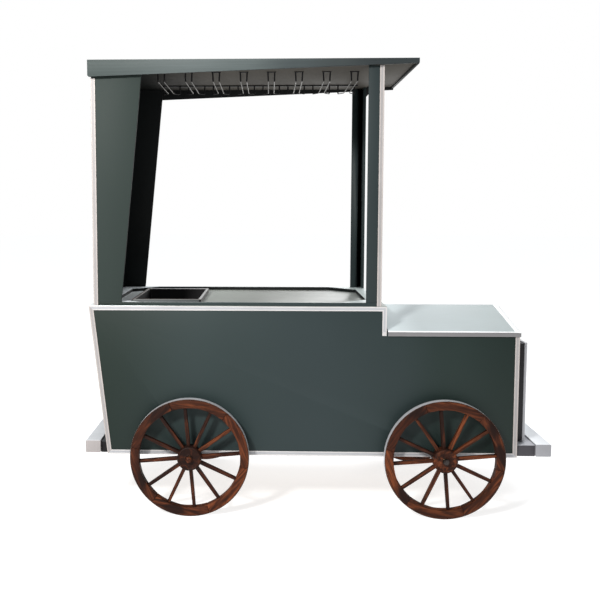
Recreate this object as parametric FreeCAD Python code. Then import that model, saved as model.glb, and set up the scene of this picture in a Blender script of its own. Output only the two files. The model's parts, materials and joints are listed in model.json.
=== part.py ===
import FreeCAD, Part
import math
import os

# Popcorn cart styled as a vintage truck, in millimetres.
# +X points to the hood, +Y to the operator's side, +Z up; the origin is on the floor,
# under the middle of the cart.  The customer's side (-Y) is called near, the other side far.

# ---------------------------------------------------------------- driving dimensions
CART_LENGTH = 2140.0          # over the two bumpers
BODY_WIDTH = 764.0            # over the edge trims
ROOF_TOP = 2064.0
COUNTER_Z = 960.0             # top of the lower cabinet
CABINET_BOTTOM = 268.0

BOARD = 12.0                  # thickness of the painted boards
TRIM_SHEET = 2.0              # thickness of the aluminium angle
TRIM_WIDE = 20.0              # leg of the cabinet's edge angle
TRIM_NARROW = 20.0            # leg of the cab's edge angle

CABINET_REAR_TOP = -1046.0    # the cabinet's rear end leans inwards towards the floor
CABINET_REAR_BOTTOM = -967.0
CABINET_FRONT = 915.0
STEP_X = 315.0                # where the cabinet steps down to the hood
EAVE_BOARD_Z = 845.0          # top of the side boards beside the hood

CAB_REAR = -1022.0
CAB_FRONT = 289.0
WING_TOP_X = -790.0           # inner edge of the tapering wing board, at its top
WING_FOOT_X = -895.0
POST_WIDTH = 67.0
POST_DEPTH = 72.0
SILL_HEIGHT = 16.0

ROOF_REAR = -1032.0
ROOF_FRONT = 439.0
ROOF_HALF_WIDTH = 402.0
ROOF_BOARD = 16.0
FASCIA_REAR_DEPTH = 75.0
FASCIA_FRONT_DEPTH = 22.0
FAR_FASCIA_REAR_DEPTH = 88.0  # the far fascia hangs a little lower than the near one
FAR_FASCIA_FRONT_DEPTH = 30.0
END_FASCIA_FRONT_DEPTH = 24.0  # the fascia across the front end
FASCIA_CORNER = 9.0           # radius of the lower rear corner

HOOD_REAR = 321.0
HOOD_FRONT = 919.0
HOOD_HALF_WIDTH = 388.0
HOOD_EAVE_Z = 849.0
HOOD_RISE = 80.0              # from the eaves to the ridge
HOOD_LIP = 22.0
HOOD_SHEET = 2.0

BUMPER_DEPTH = 70.0
BUMPER_Z = (274.0, 331.0)
RAIL_Z = (272.0, 322.0)
SADDLE_Z = (248.0, 284.0)     # the saddles rise into notches under the rails
RAIL_WIDTH = 50.0
TUBE_WALL = 3.0

WHEEL_RADIUS = 272.0
WHEEL_X = {"rear": -580.0, "front": 576.0}
WHEEL_MID_Y = 433.0           # distance of a wheel's mid plane from the cart's centre
SPOKES = 12
FELLOES = 6
SPOKE_PHASE = -5.0            # degrees, clockwise from straight up, seen from the near side

AXLE_RADIUS = 10.0
AXLE_END_Y = 486.0
RUNNING_GAP = 0.05            # radial clearance of every pin and axle

BIN_LENGTH = 530.0            # gastronorm 1/1 over its rim
BIN_WIDTH = 325.0
BIN_CENTRE = (-699.0, -40.0)
BIN_DEPTH = 190.0             # below the counter

RACKS = 8
RACK_FIRST_X = -725.0
RACK_PITCH = 128.3

# ---------------------------------------------------------------- derived planes
HALF = BODY_WIDTH / 2
OUT = HALF - TRIM_SHEET       # outer face of the side boards
IN = OUT - BOARD              # inner face of the side boards
WORKTOP_SHEET = 2.0
WORKTOP_Z = COUNTER_Z + WORKTOP_SHEET
SILL_Z = WORKTOP_Z + SILL_HEIGHT
CEILING_TOP = ROOF_TOP - ROOF_BOARD
CEILING_Z = CEILING_TOP - BOARD
BUMPER_IN = CART_LENGTH / 2 - BUMPER_DEPTH
CAB_REAR_BOARD = CAB_REAR + TRIM_SHEET
CAB_FRONT_BOARD = CAB_FRONT - TRIM_SHEET
FLOOR_Z = RAIL_Z[1] + BOARD
HOOD_SLOPE = HOOD_RISE / (HOOD_HALF_WIDTH - HOOD_SHEET)

# The edge-trimmed outline of a side, as (X, Z), from the foot of the step round to the hood.
TRIM_PATH = [
    (STEP_X, EAVE_BOARD_Z),
    (STEP_X, COUNTER_Z),
    (CABINET_REAR_TOP, COUNTER_Z),
    (CABINET_REAR_BOTTOM, CABINET_BOTTOM),
    (CABINET_FRONT, CABINET_BOTTOM),
    (CABINET_FRONT, EAVE_BOARD_Z),
]


# ---------------------------------------------------------------- helpers
def vec(x, y, z):
    return FreeCAD.Vector(x, y, z)


def box(x0, x1, y0, y1, z0, z1):
    return Part.makeBox(x1 - x0, y1 - y0, z1 - z0, vec(x0, y0, z0))


def prism(corners, travel):
    """Extrude the closed outline through the given corners along a vector."""
    face = Part.Face(Part.makePolygon(corners + corners[:1]))
    return face.extrude(travel)


def side_prism(outline, y0, y1):
    """Extrude an (X, Z) outline along Y."""
    return prism([vec(x, y0, z) for x, z in outline], vec(0, y1 - y0, 0))


def end_prism(outline, x0, x1):
    """Extrude a (Y, Z) outline along X."""
    return prism([vec(x0, y, z) for y, z in outline], vec(x1 - x0, 0, 0))


def plan_prism(outline, z0, z1):
    """Extrude an (X, Y) outline along Z."""
    return prism([vec(x, y, z0) for x, y in outline], vec(0, 0, z1 - z0))


def rod(start, end, radius):
    """Round bar between two points."""
    along = end - start
    return Part.makeCylinder(radius, along.Length, start, along)


def mirrored(solid):
    """The same piece on the other side of the cart."""
    return solid.mirror(vec(0, 0, 0), vec(0, 1, 0))


def both_sides(solid):
    return [solid, mirrored(solid)]


def fused(pieces):
    solid = pieces[0]
    for piece in pieces[1:]:
        solid = solid.fuse(piece)
    return solid.removeSplitter()


def cut_all(solid, tools):
    for tool in tools:
        solid = solid.cut(tool)
    return solid


def line_crossing(a, b, c, d):
    """Where the line a-b meets the line c-d, in a plane."""
    (ax, az), (bx, bz), (cx, cz), (dx, dz) = a, b, c, d
    run = (bx - ax) * (dz - cz) - (bz - az) * (dx - cx)
    part = ((cx - ax) * (dz - cz) - (cz - az) * (dx - cx)) / run
    return (ax + part * (bx - ax), az + part * (bz - az))


def offset_path(points, distance):
    """Shift an open outline to its left by a distance, with mitred corners."""
    runs = []
    for (x0, z0), (x1, z1) in zip(points, points[1:]):
        length = math.hypot(x1 - x0, z1 - z0)
        dx = -(z1 - z0) / length * distance
        dz = (x1 - x0) / length * distance
        runs.append(((x0 + dx, z0 + dz), (x1 + dx, z1 + dz)))
    corners = [line_crossing(*first, *second) for first, second in zip(runs, runs[1:])]
    return [runs[0][0]] + corners + [runs[-1][1]]


def save(node, pieces):
    """Check the pieces of one node and write them to its STEP file."""
    solids = []
    for piece in pieces:
        solids.extend(piece.Solids)
    for solid in solids:
        if not solid.isValid() or solid.Volume <= 0:
            raise ValueError("bad solid in " + node)
    shape = solids[0] if len(solids) == 1 else Part.makeCompound(solids)
    shape.exportStep("parts/" + node + ".step")
    print(node, len(solids), "solids")


# ---------------------------------------------------------------- chassis
def box_tube_x(x0, x1, y0, y1, z0, z1):
    hole = box(x0, x1, y0 + TUBE_WALL, y1 - TUBE_WALL, z0 + TUBE_WALL, z1 - TUBE_WALL)
    return box(x0, x1, y0, y1, z0, z1).cut(hole)


def box_tube_y(x0, x1, y0, y1, z0, z1):
    hole = box(x0 + TUBE_WALL, x1 - TUBE_WALL, y0, y1, z0 + TUBE_WALL, z1 - TUBE_WALL)
    return box(x0, x1, y0, y1, z0, z1).cut(hole)


def rail_envelope():
    """Outer form of the near rail, used to notch the boards it passes."""
    return box(-BUMPER_IN, BUMPER_IN, -IN, -IN + RAIL_WIDTH, *RAIL_Z)


def axle_passage(radius):
    """Both axles as full bars of some radius, used to cut their passages."""
    ends = [(vec(x, -AXLE_END_Y, WHEEL_RADIUS), vec(x, AXLE_END_Y, WHEEL_RADIUS))
            for x in WHEEL_X.values()]
    return [rod(start, end, radius) for start, end in ends]


def saddle_envelopes():
    """Outer forms of the two near saddles, let into the rail from below."""
    length = 60.0
    return [box(x - length / 2, x + length / 2, -IN, -IN + RAIL_WIDTH, *SADDLE_Z) for x in WHEEL_X.values()]


def chassis_frame():
    """Two side rails, cross members and the welded saddles that carry the axles."""
    cross_width = 40.0
    cross_x = (-930.0, WHEEL_X["rear"], 0.0, WHEEL_X["front"], 870.0)
    rail = box_tube_x(-BUMPER_IN, BUMPER_IN, -IN, -IN + RAIL_WIDTH, *RAIL_Z)
    pieces = both_sides(cut_all(rail, saddle_envelopes()))
    for x in cross_x:
        inner = IN - RAIL_WIDTH
        pieces.append(box_tube_y(x - cross_width / 2, x + cross_width / 2, -inner, inner, SADDLE_Z[1], RAIL_Z[1]))
    bores = axle_passage(AXLE_RADIUS + RUNNING_GAP)
    for saddle in saddle_envelopes():
        pieces.extend(both_sides(cut_all(saddle, bores)))
    return pieces


def axle(x):
    """Dead axle: one bar right across, held in the saddles."""
    return rod(vec(x, -AXLE_END_Y, WHEEL_RADIUS), vec(x, AXLE_END_Y, WHEEL_RADIUS), AXLE_RADIUS)


HUB_Y = (393.0, 467.0)        # a hub's inner and outer ends, from the cart's centre


def axle_fasteners():
    """Inner collar, outer washer and nut for each wheel."""
    collar_radius = 17.0
    collar_length = 9.0
    washer_radius = 15.0
    washer_sheet = 2.5
    nut_across_corners = 28.0
    nut_height = 12.0
    end_play = 0.7
    pieces = []
    for x in WHEEL_X.values():
        collar_out = -(HUB_Y[0] - end_play)
        collar = rod(vec(x, collar_out, WHEEL_RADIUS),
                     vec(x, collar_out + collar_length, WHEEL_RADIUS), collar_radius)
        washer_in = -(HUB_Y[1] + end_play)
        washer = rod(vec(x, washer_in, WHEEL_RADIUS),
                     vec(x, washer_in - washer_sheet, WHEEL_RADIUS), washer_radius)
        nut_in = washer_in - washer_sheet
        corners = []
        for k in range(6):
            turn = math.radians(60.0 * k)
            corners.append((x + nut_across_corners / 2 * math.cos(turn),
                            WHEEL_RADIUS + nut_across_corners / 2 * math.sin(turn)))
        nut = side_prism(corners, nut_in - nut_height, nut_in)
        for piece in (collar, washer, nut):
            pieces.extend(both_sides(cut_all(piece, axle_passage(AXLE_RADIUS))))
    return pieces


def bumper(inner_x, outer_x):
    """Rectangular tube across the cart with a cap plate closing each end."""
    cap = 3.0
    x0, x1 = min(inner_x, outer_x), max(inner_x, outer_x)
    tube = box_tube_y(x0, x1, -HALF + cap, HALF - cap, *BUMPER_Z)
    end = box(x0, x1, -HALF, -HALF + cap, *BUMPER_Z)
    return [tube] + both_sides(end)


def rear_face_x(z, inset=0.0):
    """X of the leaning rear outline at a height, moved in square to its face."""
    lean = (CABINET_REAR_BOTTOM - CABINET_REAR_TOP) / (CABINET_BOTTOM - COUNTER_Z)
    return CABINET_REAR_TOP + (z - COUNTER_Z) * lean + inset * math.hypot(1.0, lean)


def deck_plates():
    """Thin plates over the rails where they stick out of the body."""
    deck_sheet = 1.5
    top = RAIL_Z[1] + deck_sheet
    rear = box(-BUMPER_IN, rear_face_x(RAIL_Z[1], -TRIM_SHEET), -IN, IN, RAIL_Z[1], top)
    front = box(CABINET_FRONT + TRIM_SHEET, BUMPER_IN, -IN, IN, RAIL_Z[1], top)
    return [rear, front]


# ---------------------------------------------------------------- cabinet
DOOR_OPENING_X = (-270.0, 270.0)
DOOR_OPENING_Z = (340.0, 920.0)
BATTEN = 30.0
AXLE_NOTCH_RADIUS = 14.0


def side_board():
    """The stepped near side board with its leaning rear edge."""
    outline = offset_path(TRIM_PATH, TRIM_SHEET)
    board = side_prism(outline, -OUT, -IN)
    return cut_all(board, axle_passage(AXLE_NOTCH_RADIUS))


def far_side_board():
    opening = box(*DOOR_OPENING_X, IN, OUT, *DOOR_OPENING_Z)
    return mirrored(side_board()).cut(opening)


def rear_board():
    """Leaning end board between the two sides, notched over the rails."""
    top = COUNTER_Z - TRIM_SHEET
    bottom = CABINET_BOTTOM + TRIM_SHEET
    outline = [
        (rear_face_x(bottom, TRIM_SHEET), bottom),
        (rear_face_x(bottom, TRIM_SHEET + BOARD), bottom),
        (rear_face_x(top, TRIM_SHEET + BOARD), top),
        (rear_face_x(top, TRIM_SHEET), top),
    ]
    return cut_all(side_prism(outline, -IN, IN), both_sides(rail_envelope()))


def front_board():
    """Upright board behind the grille; its top follows the slopes of the hood."""
    gap = 2.0
    ridge = HOOD_EAVE_Z + HOOD_RISE - HOOD_SHEET - gap
    shoulder = ridge - HOOD_SLOPE * IN
    bottom = CABINET_BOTTOM + TRIM_SHEET
    outline = [(-IN, bottom), (IN, bottom), (IN, shoulder), (0.0, ridge), (-IN, shoulder)]
    front = CABINET_FRONT - TRIM_SHEET
    return cut_all(end_prism(outline, front - BOARD, front), both_sides(rail_envelope()))


def step_board():
    """Bulkhead between the counter's storage and the hood's."""
    front = STEP_X - TRIM_SHEET
    return box(front - BOARD, front, -IN, IN, FLOOR_Z, COUNTER_Z - TRIM_SHEET)


def floor_board():
    rear = rear_face_x(RAIL_Z[1], TRIM_SHEET + BOARD)
    rear_top = rear_face_x(FLOOR_Z, TRIM_SHEET + BOARD)
    front = CABINET_FRONT - TRIM_SHEET - BOARD
    outline = [(rear, RAIL_Z[1]), (front, RAIL_Z[1]), (front, FLOOR_Z), (rear_top, FLOOR_Z)]
    return side_prism(outline, -IN, IN)


def batten_frame():
    """Battens that join the boards, and the strips that the doors close against."""
    top = COUNTER_Z - TRIM_SHEET
    lap = 8.0
    clearance = 1.0
    strip_inner = IN - BOARD
    step_back = STEP_X - TRIM_SHEET - BOARD
    front_back = CABINET_FRONT - TRIM_SHEET - BOARD
    rear_top = rear_face_x(top - BATTEN, TRIM_SHEET + BOARD) + clearance
    rear_foot = rear_face_x(FLOOR_Z, TRIM_SHEET + BOARD) + clearance
    pieces = []
    pieces += both_sides(box(rear_top, step_back, -IN, -IN + BATTEN, top - BATTEN, top))
    pieces += both_sides(box(step_back + BOARD, front_back, -IN, -IN + BATTEN,
                             EAVE_BOARD_Z - BATTEN, EAVE_BOARD_Z))
    pieces.append(box(rear_foot, step_back, -IN, -IN + BATTEN, FLOOR_Z, FLOOR_Z + BATTEN))
    x0, x1 = DOOR_OPENING_X
    z1 = DOOR_OPENING_Z[1]
    for left, right in ((x0 - BATTEN + lap, x0 + lap), (x1 - lap, x1 + BATTEN - lap)):
        pieces.append(box(left, right, strip_inner, IN, FLOOR_Z, top - BATTEN))
    pieces.append(box(x0 + lap, x1 - lap, strip_inner, IN, z1 - lap, top - BATTEN))
    pieces.append(box(x0 + lap, x1 - lap, strip_inner, IN, FLOOR_Z, DOOR_OPENING_Z[0] + lap))
    return pieces


SHELF_Z = 620.0


def shelf():
    rear = rear_face_x(SHELF_Z, TRIM_SHEET + BOARD)
    rear_top = rear_face_x(SHELF_Z + BOARD, TRIM_SHEET + BOARD)
    front = STEP_X - TRIM_SHEET - BOARD
    top = SHELF_Z + BOARD
    outline = [(rear, SHELF_Z), (front, SHELF_Z), (front, top), (rear_top, top)]
    return side_prism(outline, -IN, IN - BOARD)


def cabinet_trims():
    """Mitred aluminium angles along the edges of both sides, and caps across the ends."""
    wide = offset_path(TRIM_PATH, TRIM_WIDE)
    thin = offset_path(TRIM_PATH, TRIM_SHEET)
    foot_z = HOOD_EAVE_Z - HOOD_LIP
    notches = axle_passage(AXLE_NOTCH_RADIUS) + saddle_envelopes() + [rail_envelope()]
    pieces = []
    for i in range(len(TRIM_PATH) - 1):
        face_leg = [TRIM_PATH[i], TRIM_PATH[i + 1], wide[i + 1], wide[i]]
        edge_leg = [TRIM_PATH[i], TRIM_PATH[i + 1], thin[i + 1], thin[i]]
        angle = side_prism(face_leg, -HALF, -OUT).fuse(side_prism(edge_leg, -HALF, -HALF + TRIM_WIDE))
        if i == 0:
            tail = box(STEP_X - TRIM_WIDE, STEP_X, -HALF, -OUT, foot_z, EAVE_BOARD_Z)
            angle = angle.fuse(tail)
        angle = cut_all(angle.removeSplitter(), notches)
        pieces += both_sides(angle)
    inner = HALF - TRIM_WIDE
    rear_cap = [TRIM_PATH[2], thin[2], (thin[2][0] + TRIM_WIDE, thin[2][1]),
                (thin[2][0] + TRIM_WIDE, COUNTER_Z)]
    step_cap = [(STEP_X, COUNTER_Z), (STEP_X - TRIM_WIDE, COUNTER_Z),
                (STEP_X - TRIM_WIDE, COUNTER_Z - TRIM_SHEET), (STEP_X, COUNTER_Z - TRIM_SHEET)]
    pieces.append(side_prism(rear_cap, -inner, inner))
    pieces.append(side_prism(step_cap, -inner, inner))
    return pieces


# ---------------------------------------------------------------- counter
def worktop():
    """Stainless sheet with the bin's cut-out."""
    sheet = box(CABINET_REAR_TOP, STEP_X, -HALF, HALF, COUNTER_Z, WORKTOP_Z)
    return sheet.cut(bin_hole(COUNTER_Z, WORKTOP_Z))


REAR_SILL_X = -945.0
FRONT_SILL_X = 235.0


def worktop_sills():
    """Raised frame round the counter: side strips, and wider strips at the two ends."""
    side = box(CAB_REAR_BOARD, CAB_FRONT_BOARD, -OUT, -IN, WORKTOP_Z, SILL_Z)
    rear = box(CAB_REAR_BOARD + BOARD, REAR_SILL_X, -IN, IN, WORKTOP_Z, SILL_Z)
    front = box(FRONT_SILL_X, CAB_FRONT_BOARD, -IN, IN, WORKTOP_Z, SILL_Z)
    return both_sides(side) + [rear, front]


def corner_plates():
    """Triangular gussets in the four corners of the counter."""
    leg = 130.0
    pieces = []
    for corner_x, inward in ((REAR_SILL_X, 1.0), (FRONT_SILL_X, -1.0)):
        outline = [(corner_x, -IN), (corner_x + inward * leg, -IN), (corner_x, -IN + leg)]
        pieces += both_sides(plan_prism(outline, WORKTOP_Z, SILL_Z))
    return pieces


BIN_RIM_WIDTH = 12.5
BIN_RIM_HEIGHT = 21.0
BIN_WALL = 1.5
BIN_HOLE_GAP = 1.0            # between the bin's wall and the edge of its cut-out


def bin_footprint(shrink, z0, z1):
    """The bin's plan, drawn in from the rim's outer edge, between two heights."""
    x, y = BIN_CENTRE
    half_x = BIN_WIDTH / 2 - shrink
    half_y = BIN_LENGTH / 2 - shrink
    return box(x - half_x, x + half_x, y - half_y, y + half_y, z0, z1)


def bin_hole(z0, z1):
    return bin_footprint(BIN_RIM_WIDTH - BIN_HOLE_GAP, z0, z1)


def waste_bin():
    """Lift-out pan whose raised rim rests on the counter."""
    bottom = COUNTER_Z - BIN_DEPTH
    top = WORKTOP_Z + BIN_RIM_HEIGHT
    body = bin_footprint(BIN_RIM_WIDTH, bottom, top)
    rim = bin_footprint(0.0, WORKTOP_Z, top)
    hollow = bin_footprint(BIN_RIM_WIDTH + BIN_WALL, bottom + BIN_WALL, top)
    return fused([body, rim]).cut(hollow)


# ---------------------------------------------------------------- cab
def wing():
    """Near rear board of the cab, its free edge sloping in towards the counter."""
    outline = [(CAB_REAR_BOARD, SILL_Z), (WING_FOOT_X, SILL_Z), (WING_TOP_X, CEILING_Z),
               (CAB_REAR_BOARD, CEILING_Z)]
    return side_prism(outline, -OUT, -IN)


def cab_rear_board():
    return box(CAB_REAR_BOARD, CAB_REAR_BOARD + BOARD, -IN, IN, WORKTOP_Z, CEILING_Z)


def post():
    """Near front post: a side board and a return board set square to it."""
    face = box(CAB_FRONT_BOARD - POST_WIDTH, CAB_FRONT_BOARD, -OUT, -IN, SILL_Z, CEILING_Z)
    turn = box(CAB_FRONT_BOARD - BOARD, CAB_FRONT_BOARD, -IN, -OUT + POST_DEPTH, SILL_Z, CEILING_Z)
    return [face, turn]


def cab_trims():
    """Aluminium angles on the four upright corners of the cab."""
    rear_top = ROOF_TOP - FASCIA_REAR_DEPTH + FASCIA_CORNER
    pieces = []
    for corner, inward, top in ((CAB_REAR, 1.0, rear_top), (CAB_FRONT, -1.0, CEILING_Z)):
        legs = []
        for width_x, width_y in ((TRIM_NARROW, TRIM_SHEET), (TRIM_SHEET, TRIM_NARROW)):
            x0, x1 = sorted((corner, corner + inward * width_x))
            legs.append(box(x0, x1, -HALF, -HALF + width_y, WORKTOP_Z, top))
        pieces += both_sides(fused(legs))
    return pieces


def roof_board():
    inner = ROOF_HALF_WIDTH - BOARD
    return box(ROOF_REAR + BOARD, ROOF_FRONT - BOARD, -inner, inner, CEILING_TOP, ROOF_TOP)


def fascia(rear_depth, front_depth):
    """Fascia on the near side: level on top, deep at the rear and shallow at the front."""
    outline = [
        (ROOF_REAR, ROOF_TOP),
        (ROOF_REAR, ROOF_TOP - rear_depth),
        (ROOF_FRONT, ROOF_TOP - front_depth),
        (ROOF_FRONT, ROOF_TOP),
    ]
    board = side_prism(outline, -ROOF_HALF_WIDTH, -ROOF_HALF_WIDTH + BOARD)
    near = 1.0
    corner = []
    for edge in board.Edges:
        middle = edge.CenterOfMass
        if abs(middle.x - ROOF_REAR) < near and middle.z < ROOF_TOP - rear_depth + near:
            corner.append(edge)
    return board.makeFillet(FASCIA_CORNER, corner)


def fascias():
    inner = ROOF_HALF_WIDTH - BOARD
    rear_foot = ROOF_TOP - FASCIA_REAR_DEPTH + FASCIA_CORNER
    rear = box(ROOF_REAR, ROOF_REAR + BOARD, -inner, inner, rear_foot, ROOF_TOP)
    front = box(ROOF_FRONT - BOARD, ROOF_FRONT, -inner, inner, ROOF_TOP - END_FASCIA_FRONT_DEPTH, ROOF_TOP)
    near = fascia(FASCIA_REAR_DEPTH, FASCIA_FRONT_DEPTH)
    far = both_sides(fascia(FAR_FASCIA_REAR_DEPTH, FAR_FASCIA_FRONT_DEPTH))[1]
    return [near, far, rear, front]


def ceiling_board():
    """Lines the roof over the cab; the overhang in front shows the bare roof board."""
    inner = ROOF_HALF_WIDTH - BOARD
    return box(ROOF_REAR + BOARD, CAB_FRONT, -inner, inner, CEILING_Z, CEILING_TOP)


# ---------------------------------------------------------------- glass racks
RACK_BAR = 4.0
RACK_NEAR_Y = -217.0
RACK_FAR_Y = 217.0
RACK_RAIL_Z = 1989.0
RACK_HALF_GAP = 14.0          # slot centre to the middle of a rail
RACK_FLARE = 42.0             # the same at the far, open end
FLARE_START_Y = 188.0


def slanted_bar(start, end):
    """Square bar between two points, cut level at both ends."""
    half = RACK_BAR / 2
    square = ((-half, -half), (half, -half), (half, half), (-half, half))
    corners = [start + vec(dx, dy, 0) for dx, dy in square]
    return prism(corners, end - start)


def rack_brackets():
    """Black hangers: a bar and two legs at the near end, two legs and a strip at the far end."""
    strip_height = 6.0
    foot = RACK_RAIL_Z + RACK_BAR
    bar_z = CEILING_Z - RACK_BAR
    bar_half_length = 25.0
    strip_overhang = 60.0
    spread = 5.0
    pieces = []
    for k in range(RACKS):
        x = RACK_FIRST_X + k * RACK_PITCH
        pieces.append(box(x - bar_half_length, x + bar_half_length,
                          RACK_NEAR_Y, RACK_NEAR_Y + RACK_BAR, bar_z, CEILING_Z))
        for side in (-1.0, 1.0):
            near_y = RACK_NEAR_Y + RACK_BAR / 2
            low = vec(x + side * RACK_HALF_GAP, near_y, foot)
            high = vec(x + side * (RACK_HALF_GAP + spread), near_y, bar_z)
            pieces.append(slanted_bar(low, high))
            far = vec(x + side * RACK_FLARE, RACK_FAR_Y, foot)
            pieces.append(slanted_bar(far, far + vec(0, 0, CEILING_Z - strip_height - foot)))
    last_x = RACK_FIRST_X + (RACKS - 1) * RACK_PITCH
    pieces.append(box(RACK_FIRST_X - strip_overhang, last_x + strip_overhang,
                      RACK_FAR_Y - RACK_BAR, RACK_FAR_Y + RACK_BAR, CEILING_Z - strip_height, CEILING_Z))
    return pieces


def rack_rails():
    """Pairs of bright rails that flare apart where the glasses go in."""
    half = RACK_BAR / 2
    pieces = []
    for k in range(RACKS):
        x = RACK_FIRST_X + k * RACK_PITCH
        for side in (-1.0, 1.0):
            gap = x + side * RACK_HALF_GAP
            flare = x + side * RACK_FLARE
            outline = [
                (gap - half, RACK_NEAR_Y), (gap + half, RACK_NEAR_Y),
                (gap + half, FLARE_START_Y), (flare + half, RACK_FAR_Y),
                (flare + half, RACK_FAR_Y + half), (flare - half, RACK_FAR_Y + half),
                (flare - half, RACK_FAR_Y), (gap - half, FLARE_START_Y),
            ]
            pieces.append(plan_prism(outline, RACK_RAIL_Z, RACK_RAIL_Z + RACK_BAR))
    return pieces


# ---------------------------------------------------------------- hinges
KNUCKLE_RADIUS = 4.0
PIN_RADIUS = 2.0
LEAF_SHEET = 1.5
HINGE_LENGTH = 60.0
KNUCKLE_GAP = 0.3
BRIDGE_LAP = 1.0              # how far a leaf's root runs past its knuckle


def knuckle_spans():
    """Fixed, moving, fixed: the three stretches of a hinge's barrel, from its start."""
    third = HINGE_LENGTH / 3
    return [(0.0, third), (third + KNUCKLE_GAP, 2 * third - KNUCKLE_GAP), (2 * third, HINGE_LENGTH)]


def barrel(start, direction, radius):
    return Part.makeCylinder(radius, HINGE_LENGTH, start, direction)


# ---------------------------------------------------------------- hood
HOOD_HINGE_X = (370.0, 590.0, 810.0)
HOOD_AXIS_Y = 388.0
HOOD_AXIS_Z = 822.0


def hood_profile(drop):
    """The hood's outer section as (Y, Z), with the sheet's thickness taken off by drop."""
    half = HOOD_HALF_WIDTH - drop
    eave = HOOD_EAVE_Z - drop
    foot = HOOD_EAVE_Z - HOOD_LIP
    return [(-half, foot), (-half, eave), (0.0, eave + HOOD_RISE), (half, eave), (half, foot)]


def hood_sheet():
    """Folded gable sheet with a lip down the two eaves and across the front."""
    shell = end_prism(hood_profile(0.0), HOOD_REAR, HOOD_FRONT)
    hollow = end_prism(hood_profile(HOOD_SHEET), HOOD_REAR, HOOD_FRONT)
    foot = HOOD_EAVE_Z - HOOD_LIP
    outer = hood_profile(0.0)
    band = outer + [(0.0, foot + HOOD_RISE)]
    lip = end_prism(band, HOOD_FRONT - HOOD_SHEET, HOOD_FRONT)
    return fused([shell.cut(hollow), lip])


def hood_moving_hinge(x):
    """Leaf on the lid's far lip with the middle knuckle of one hinge."""
    start, end = knuckle_spans()[1]
    leaf_y = HOOD_HALF_WIDTH
    leaf_top = HOOD_EAVE_Z - 3.0
    axis = vec(1, 0, 0)
    leaf = box(x + start, x + end, leaf_y, leaf_y + LEAF_SHEET, HOOD_AXIS_Z, leaf_top)
    knuckle = Part.makeCylinder(KNUCKLE_RADIUS, end - start,
                                vec(x + start, HOOD_AXIS_Y, HOOD_AXIS_Z), axis)
    bore = barrel(vec(x, HOOD_AXIS_Y, HOOD_AXIS_Z), axis, PIN_RADIUS + RUNNING_GAP)
    return fused([leaf, knuckle]).cut(bore)


def hood_lid():
    return [hood_sheet()] + [hood_moving_hinge(x) for x in HOOD_HINGE_X]


def hood_fixed_hinge(x):
    """Leaf on the far side board with the two outer knuckles, and the pin through them."""
    axis = vec(1, 0, 0)
    leaf_height = 30.0
    leaf_top = HOOD_AXIS_Z - KNUCKLE_RADIUS
    leaf = box(x, x + HINGE_LENGTH, OUT, OUT + LEAF_SHEET, leaf_top - leaf_height, leaf_top)
    pieces = [leaf]
    for start, end in (knuckle_spans()[0], knuckle_spans()[2]):
        pieces.append(box(x + start, x + end, OUT, HOOD_AXIS_Y,
                          leaf_top - LEAF_SHEET, leaf_top + BRIDGE_LAP))
        pieces.append(Part.makeCylinder(KNUCKLE_RADIUS, end - start,
                                        vec(x + start, HOOD_AXIS_Y, HOOD_AXIS_Z), axis))
    start = vec(x, HOOD_AXIS_Y, HOOD_AXIS_Z)
    body = fused(pieces).cut(barrel(start, axis, PIN_RADIUS))
    return [body, barrel(start, axis, PIN_RADIUS)]


def hood_hinges():
    pieces = []
    for x in HOOD_HINGE_X:
        pieces += hood_fixed_hinge(x)
    return pieces


GRILLE_HALF_WIDTH = 320.0
GRILLE_Z = (330.0, 790.0)
GRILLE_FACE_X = 967.0
GRILLE_FACE_DEPTH = 12.0
GRILLE_BORDER = 28.0


def grille_frame():
    """Mitred bright frame on the front of the grille."""
    z0, z1 = GRILLE_Z
    wide = GRILLE_HALF_WIDTH
    outer = [(-wide, z0), (wide, z0), (wide, z1), (-wide, z1)]
    inset = GRILLE_BORDER
    inner = [(-wide + inset, z0 + inset), (wide - inset, z0 + inset),
             (wide - inset, z1 - inset), (-wide + inset, z1 - inset)]
    pieces = []
    for i in range(4):
        j = (i + 1) % 4
        bar = [outer[i], outer[j], inner[j], inner[i]]
        pieces.append(end_prism(bar, GRILLE_FACE_X - GRILLE_FACE_DEPTH, GRILLE_FACE_X))
    return pieces


def grille_core():
    """Dark box behind the frame with level slats across it."""
    wall = 6.0
    inset = 2.0
    slat_pitch = 31.0
    slat_sheet = 5.0
    slat_depth = 30.0
    slat_rise = 12.0
    slat_drop = 6.0
    z0, z1 = GRILLE_Z
    wide = GRILLE_HALF_WIDTH - inset
    back = CABINET_FRONT - TRIM_SHEET
    front = GRILLE_FACE_X - GRILLE_FACE_DEPTH
    low, high = z0 + inset, z1 - inset
    pieces = [
        box(back, front, -wide, -wide + wall, low, high),
        box(back, front, wide - wall, wide, low, high),
        box(back, front, -wide + wall, wide - wall, low, low + wall),
        box(back, front, -wide + wall, wide - wall, high - wall, high),
    ]
    count = int((high - low) // slat_pitch)
    for k in range(1, count):
        z = low + k * (high - low) / count
        lean = [(front - slat_depth, z + slat_rise), (front - slat_depth, z + slat_rise + slat_sheet),
                (front, z + slat_sheet - slat_drop), (front, z - slat_drop)]
        pieces.append(side_prism(lean, -wide + wall, wide - wall))
    return pieces


# ---------------------------------------------------------------- storage doors
DOOR_GAP = 2.0
DOOR_SEAT_GAP = 0.5           # between a closed door and the strips it rests on
DOOR_LEAF_END = 34.0          # a hinge leaf's far edge, from the hinge axis
DOOR_LEAF_START = KNUCKLE_RADIUS + BRIDGE_LAP
DOOR_AXIS_Y = OUT + KNUCKLE_RADIUS
DOOR_HINGE_Z = (410.0, 750.0)
DOOR_SIDES = {"rear": -1.0, "front": 1.0}


def door_axis_x(side):
    return side * (DOOR_OPENING_X[1] + DOOR_GAP / 2)


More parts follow.
